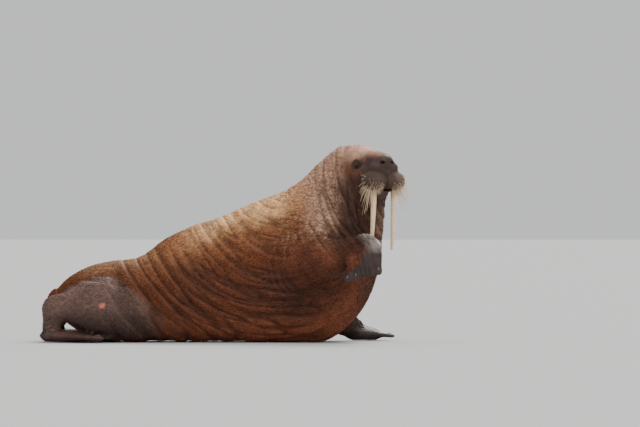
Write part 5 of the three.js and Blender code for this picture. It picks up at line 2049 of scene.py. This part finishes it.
@dataclass
class Chart:
    """An unwrap of the animal's own shape: a tile for each part, unrolled round its own line."""

    body: Body
    tiles: tuple[tuple[str, float, float, float, float], ...] = (
        ("trunk", 0.02, 0.02, 0.96, 0.56),
        ("head", 0.02, 0.62, 0.22, 0.34),
        ("right_arm", 0.26, 0.62, 0.11, 0.34),
        ("left_arm", 0.39, 0.62, 0.11, 0.34),
        ("right_leg", 0.52, 0.62, 0.11, 0.34),
        ("left_leg", 0.65, 0.62, 0.11, 0.34),
        ("tail", 0.78, 0.62, 0.05, 0.34),
        ("right_hand", 0.85, 0.62, 0.05, 0.16),
        ("left_hand", 0.92, 0.62, 0.05, 0.16),
        ("right_foot", 0.85, 0.80, 0.05, 0.16),
        ("left_foot", 0.92, 0.80, 0.05, 0.16),
    )

    def places(self, points: np.ndarray) -> np.ndarray:
        """Where each point lies on the unwrap.

        Args:
            points: places in millimetres.

        Returns:
            Two numbers from 0 to 1 for each.
        """
        body = self.body
        trunk = body.trunk.place(points)
        parts = body.parts(points)
        rows = np.stack([trunk.distance, *(parts[name] for name, *_ in self.tiles[1:])])
        owner = rows.argmin(axis=0)
        uv = np.zeros((len(points), 2))
        for n, (name, left, low, wide, tall) in enumerate(self.tiles):
            mine = owner == n
            if not mine.any():
                continue
            u, v = self._unroll(name, points[mine], trunk, mine)
            uv[mine, 0] = left + wide * np.clip(u, 0, 1)
            uv[mine, 1] = low + tall * np.clip(v, 0, 1)
        return uv

    def _unroll(self, name: str, points: np.ndarray, trunk: TrunkPlace, mine: np.ndarray) -> tuple:
        """Along and around one part, each from 0 to 1.

        Args:
            name: the part.
            points: places on that part.
            trunk: all places on the trunk.
            mine: which of all places these are.

        Returns:
            The two rows of numbers.
        """
        if name == "trunk":
            angle = np.arctan2(trunk.side[mine], -trunk.rise[mine])
            return trunk.along[mine] / self.body.trunk.start[-1], 0.5 + angle / (2 * np.pi)
        if name == "head":
            q = self.body.head.into(points)
            return (q[:, 0] + 300) / 600, 0.5 + np.arctan2(q[:, 1], q[:, 2] + 60) / (2 * np.pi)
        lines = {
            "right_arm": self.body.right_arm, "left_arm": self.body.left_arm, "right_leg": self.body.right_leg,
            "left_leg": [rod.mirrored() for rod in self.body.right_leg], "tail": [self.body.tail],
        }
        if name in lines:
            a, b = np.array(lines[name][0].a, float), np.array(lines[name][-1].b, float)
        else:
            hands = {"right_hand": self.body.right_hand, "left_hand": self.body.left_hand}
            flipper = hands.get(name) or self.body.feet[name == "left_foot"]
            a = np.array(flipper.root, float)
            b = a + flipper.axes()[0] * 450.0
        ahead = (b - a) / np.linalg.norm(b - a)
        aside = unit(np.cross(ahead, [0.1, 0.3, 1.0]))
        rel = points - a
        angle = np.arctan2(rel @ aside, rel @ np.cross(aside, ahead))
        return 0.1 + 0.8 * (rel @ ahead) / np.linalg.norm(b - a), 0.5 + angle / (2 * np.pi)


@dataclass(frozen=True)
class TuftSizes:
    """Sizes of one kind of tuft, in millimetres."""

    length: tuple[float, float]
    width: float
    height: float
    lift: float


@dataclass
class Coat:
    """Short hair in thin tufts that lie along the body."""

    hide: Hide
    chart: Chart
    body_tufts: int = 88_000
    head_tufts: int = 16_000
    per_piece: int = 44_000
    on_body: TuftSizes = TuftSizes((17.0, 30.0), 4.6, 1.3, 0.10)
    on_head: TuftSizes = TuftSizes((7.0, 13.0), 2.6, 0.7, 0.08)
    sunk: float = 0.8
    crest: float = 0.3
    floor_gap: float = 0.5
    stray: float = 0.22
    tints: tuple[float, float] = (0.78, 1.3)
    patch: float = 0.003
    seed: int = 2024

    def build(self, finish: bpy.types.Material) -> None:
        """Makes the coat in pieces.

        Args:
            finish: the hair's material.
        """
        rng = np.random.default_rng(self.seed)
        head = self.hide.found["head"]
        bare = np.clip(self.hide.found["bare"] + self.hide.found["pad"] * 0.5, 0, 1)
        low = ramp(6.0, 30.0, self.hide.points[:, 2])
        cover = (1 - bare) * low * (1 - 0.6 * self.hide.found["crease"])
        batches = [(self.on_body, cover * (1 - head), self.body_tufts), (self.on_head, cover * head, self.head_tufts)]
        number = 1
        for sizes, weight, count in batches:
            for first in range(0, count, self.per_piece):
                self._piece(f"coat_{number:02d}", sizes, weight, min(self.per_piece, count - first), rng, finish)
                number += 1

    def _scatter(self, weight: np.ndarray, count: int, rng: np.random.Generator) -> dict[str, np.ndarray]:
        """Roots spread over the skin by area and weight, with what the skin stores there.

        Args:
            weight: the coat's thickness at each point.
            count: the number of roots.
            rng: the stream of numbers.

        Returns:
            Roots, outward directions and colours.
        """
        hide = self.hide
        corners = hide.points[hide.faces]
        area = np.linalg.norm(np.cross(corners[:, 2] - corners[:, 0], corners[:, 3] - corners[:, 1]), axis=1) / 2
        chance = area * weight[hide.faces].mean(axis=1)
        chosen = np.searchsorted(np.cumsum(chance) / chance.sum(), rng.random(count))
        chosen = np.minimum(chosen, len(chance) - 1)
        s, t = rng.random(count), rng.random(count)
        shares = np.stack([(1 - s) * (1 - t), s * (1 - t), s * t, (1 - s) * t], axis=1)
        faces = hide.faces[chosen]
        read = lambda rows: np.einsum("nk,nkj->nj", shares, rows[faces])
        return {"root": read(hide.points), "out": unit(read(hide.ahead)), "colour": read(hide.found["colour"])}

    def _lie(self, roots: np.ndarray, out: np.ndarray) -> np.ndarray:
        """The way the hair lies at each root.

        Args:
            roots: places in millimetres.
            out: outward directions there.

        Returns:
            A direction along the skin for each root.
        """
        body = self.hide.body
        q = body.head.into(roots)
        way = np.tile([-1.0, 0.0, -0.45], (len(roots), 1))
        on_head = ramp(330, 200, np.linalg.norm(q - [0, 0, -40], axis=1))
        from_nose = unit(roots - body.head.out_of([210.0, 0.0, 20.0])) + [0.0, 0.0, -0.35]
        way = mix(way, from_nose, on_head)
        for rods in (body.right_arm, body.left_arm, body.right_leg):
            a, b = np.array(rods[0].a, float), np.array(rods[-1].b, float)
            near = ramp(240, 120, Rod(rods[0].a, rods[-1].b, 0, 0).distance(roots))
            way = mix(way, np.tile(unit(b - a), (len(roots), 1)), near * 0.8)
        way = way + 0.35 * (np.stack([noise(roots / 90.0 + 5 * k, 201 + k) for k in range(3)], axis=1) - 0.5)
        return unit(way - out * np.einsum("ij,ij->i", way, out)[:, None])

    def _piece(
        self, name: str, sizes: TuftSizes, weight: np.ndarray, count: int, rng: np.random.Generator,
        finish: bpy.types.Material,
    ) -> None:
        """One piece of the coat: flattened, pointed slivers, each rooted in the skin.

        Args:
            name: the piece's name.
            sizes: the tufts' sizes.
            weight: the coat's thickness at each point.
            count: the number of tufts.
            rng: the stream of numbers.
            finish: the hair's material.
        """
        found = self._scatter(weight, count, rng)
        root, out = found["root"], found["out"]
        way = self._lie(root, out)
        way = unit(way + self.stray * (rng.random((count, 3)) - 0.5))
        aside = unit(np.cross(way, out))
        length = rng.uniform(*sizes.length, count)[:, None]
        wide = sizes.width * rng.uniform(0.7, 1.25, count)[:, None]
        lift = sizes.lift * rng.uniform(0.5, 1.5, count)[:, None]
        left = root - aside * wide / 2 - out * self.sunk
        right = root + aside * wide / 2 - out * self.sunk
        crest = root + way * length * self.crest + out * (sizes.height + lift * length * self.crest)
        tip = root + way * length + out * (lift * length)
        points = np.stack([left, right, crest, tip], axis=1).reshape(-1, 3)
        points[:, 2] = np.maximum(points[:, 2], self.floor_gap)
        one = np.array([[0, 2, 1], [1, 2, 3], [2, 0, 3], [0, 1, 3]])
        faces = (np.arange(count)[:, None, None] * 4 + one[None, :, ::-1]).reshape(-1, 3)
        piece = new_piece(name, self.hide.body.to_frame(points), faces)
        # Each tuft takes the skin's colour at its root, painted light and shade included.
        tint = found["colour"] * rng.uniform(*self.tints, count)[:, None]
        set_colour(piece, "tuft_colour", np.repeat(np.clip(tint, 0, 1), 4, axis=0))
        place = self.chart.places(root)
        corner = np.array([[0.0, 0.0], [1.0, 0.0], [0.5, 0.5], [0.5, 1.0]]) * self.patch
        uv = (place[:, None] + corner[None]).reshape(-1, 2)
        layer = piece.data.uv_layers.new(name="OFBake")
        layer.data.foreach_set("uv", np.ascontiguousarray(uv[faces.ravel()], np.float32).ravel())
        piece.data.materials.append(finish)
        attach(piece, "root")
        LOG.info("%s: %d tufts", name, count)


@dataclass(frozen=True)
class Lamp:
    """A far lamp: its name, the side it shines from, how wide it looks in degrees, its power and its colour."""

    name: str
    place: Triple
    spread: float
    power: float
    tint: Triple


@dataclass
class Studio:
    """Floor, lights and camera."""

    body: Body
    distance: float = 38.93
    height: float = 0.796
    aim: tuple[float, float] = (2022.0, 938.0)
    lens: float = 300.0
    sensor: float = 36.0
    far: float = 2000.0
    floor_radius: float = 600.0
    floor_colour: Triple = (0.46, 0.467, 0.474)
    floor_roughness: float = 0.85
    air_colour: Triple = (0.90, 0.91, 0.92)
    air_power: float = 0.8
    lamps: tuple[Lamp, ...] = (
        Lamp("key", (0.8, -1.4, 3.4), 50.0, 1.5, (1.0, 0.96, 0.9)),
        Lamp("fill", (1.8, -3.5, 0.9), 60.0, 0.6, (1.0, 0.97, 0.94)),
        Lamp("rim", (0.9, 2.6, 2.6), 30.0, 2.8, (1.0, 0.97, 0.93)),
    )

    def build(self) -> None:
        """Sets the floor, the lights and the camera."""
        self._floor()
        self._air()
        for lamp in self.lamps:
            self._light(lamp)
        self._camera()

    def _floor(self) -> None:
        """Lays a wide, matt floor."""
        bpy.ops.mesh.primitive_circle_add(
            vertices=96, radius=self.floor_radius, fill_type="NGON", location=(0.0, 0.0, 0.0)
        )
        floor = bpy.context.object
        floor.name = "floor"
        paint = bpy.data.materials.new("floor")
        paint.use_nodes = True
        shader = paint.node_tree.nodes["Principled BSDF"]
        shader.inputs["Base Color"].default_value = (*self.floor_colour, 1.0)
        shader.inputs["Roughness"].default_value = self.floor_roughness
        floor.data.materials.append(paint)
        floor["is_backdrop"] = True

    def _air(self) -> None:
        """Fills the room with even, pale light."""
        world = bpy.data.worlds.new("studio")
        bpy.context.scene.world = world
        world.use_nodes = True
        world.node_tree.nodes["Background"].inputs[0].default_value = (*self.air_colour, 1.0)
        world.node_tree.nodes["Background"].inputs[1].default_value = self.air_power

    @staticmethod
    def _light(lamp: Lamp) -> None:
        """Hangs one lamp.

        Args:
            lamp: the lamp.
        """
        sun = bpy.data.lights.new(lamp.name, "SUN")
        sun.angle = math.radians(lamp.spread)
        sun.energy = lamp.power
        sun.color = lamp.tint
        light = bpy.data.objects.new(lamp.name, sun)
        light.location = lamp.place
        light.rotation_euler = (-Vector(lamp.place)).to_track_quat("-Z", "Y").to_euler()
        bpy.context.scene.collection.objects.link(light)

    def _camera(self) -> None:
        """Stands the camera where the picture was taken from."""
        scene, shift = bpy.context.scene, self.body.shift
        lens = bpy.data.cameras.new("camera")
        lens.lens = self.lens
        lens.sensor_width = self.sensor
        lens.clip_end = self.far
        camera = bpy.data.objects.new("camera", lens)
        target = Vector((self.aim[0] * MM + shift[0], 0.0, self.aim[1] * MM + shift[2]))
        camera.location = Vector((target.x, -self.distance, self.height))
        camera.rotation_euler = (target - camera.location).to_track_quat("-Z", "Y").to_euler()
        scene.collection.objects.link(camera)
        scene.camera = camera


def write_sizes() -> None:
    """Puts the solid's box and the finished box side by side, but keeps neither."""
    plain = lambda box: [[float(v) for v in corner] for corner in box]
    {"cad": plain(CAD_BOUNDS), "visual": plain(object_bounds())}


def main() -> None:
    """Builds the animal and the studio."""
    logging.basicConfig(level=logging.INFO, format="%(message)s")
    body = Body()
    groups = {GroupName.GRAIN: grain_group(), GroupName.FURROWS: furrow_group()}
    Studio(body).build()
    hide = Hide(body, Relief(body))
    hide.build(HideFinish().make(groups))
    Eyes(body).build(LidFinish().make(groups))
    tusk_root = body.to_frame(np.array([0.0, 0.0, 1120.0]))[2]
    ivory = HornFinish(
        "ivory", pale=tuple(srgb(254, 224, 184)), dark=tuple(srgb(186, 138, 96)), roughness=0.34,
        line_size=0.012, line_depth=0.0006, root_z=tusk_root, root_reach=0.1,
    )
    Tusks(body).build(ivory.make())
    straw = HornFinish(
        "whisker", pale=tuple(srgb(236, 212, 178)), dark=tuple(srgb(190, 158, 122)), roughness=0.42,
        line_size=0.004, line_depth=0.0001,
    )
    Whiskers(body).build(straw.make())
    nail = HornFinish(
        "nail", pale=tuple(srgb(112, 98, 90)), dark=tuple(srgb(70, 58, 52)), roughness=0.4,
        line_size=0.003, line_depth=0.0002,
    )
    Nails(body).build(nail.make())
    Coat(hide, Chart(body)).build(CoatFinish().make())
    write_sizes()


if __name__ == "__main__":
    main()
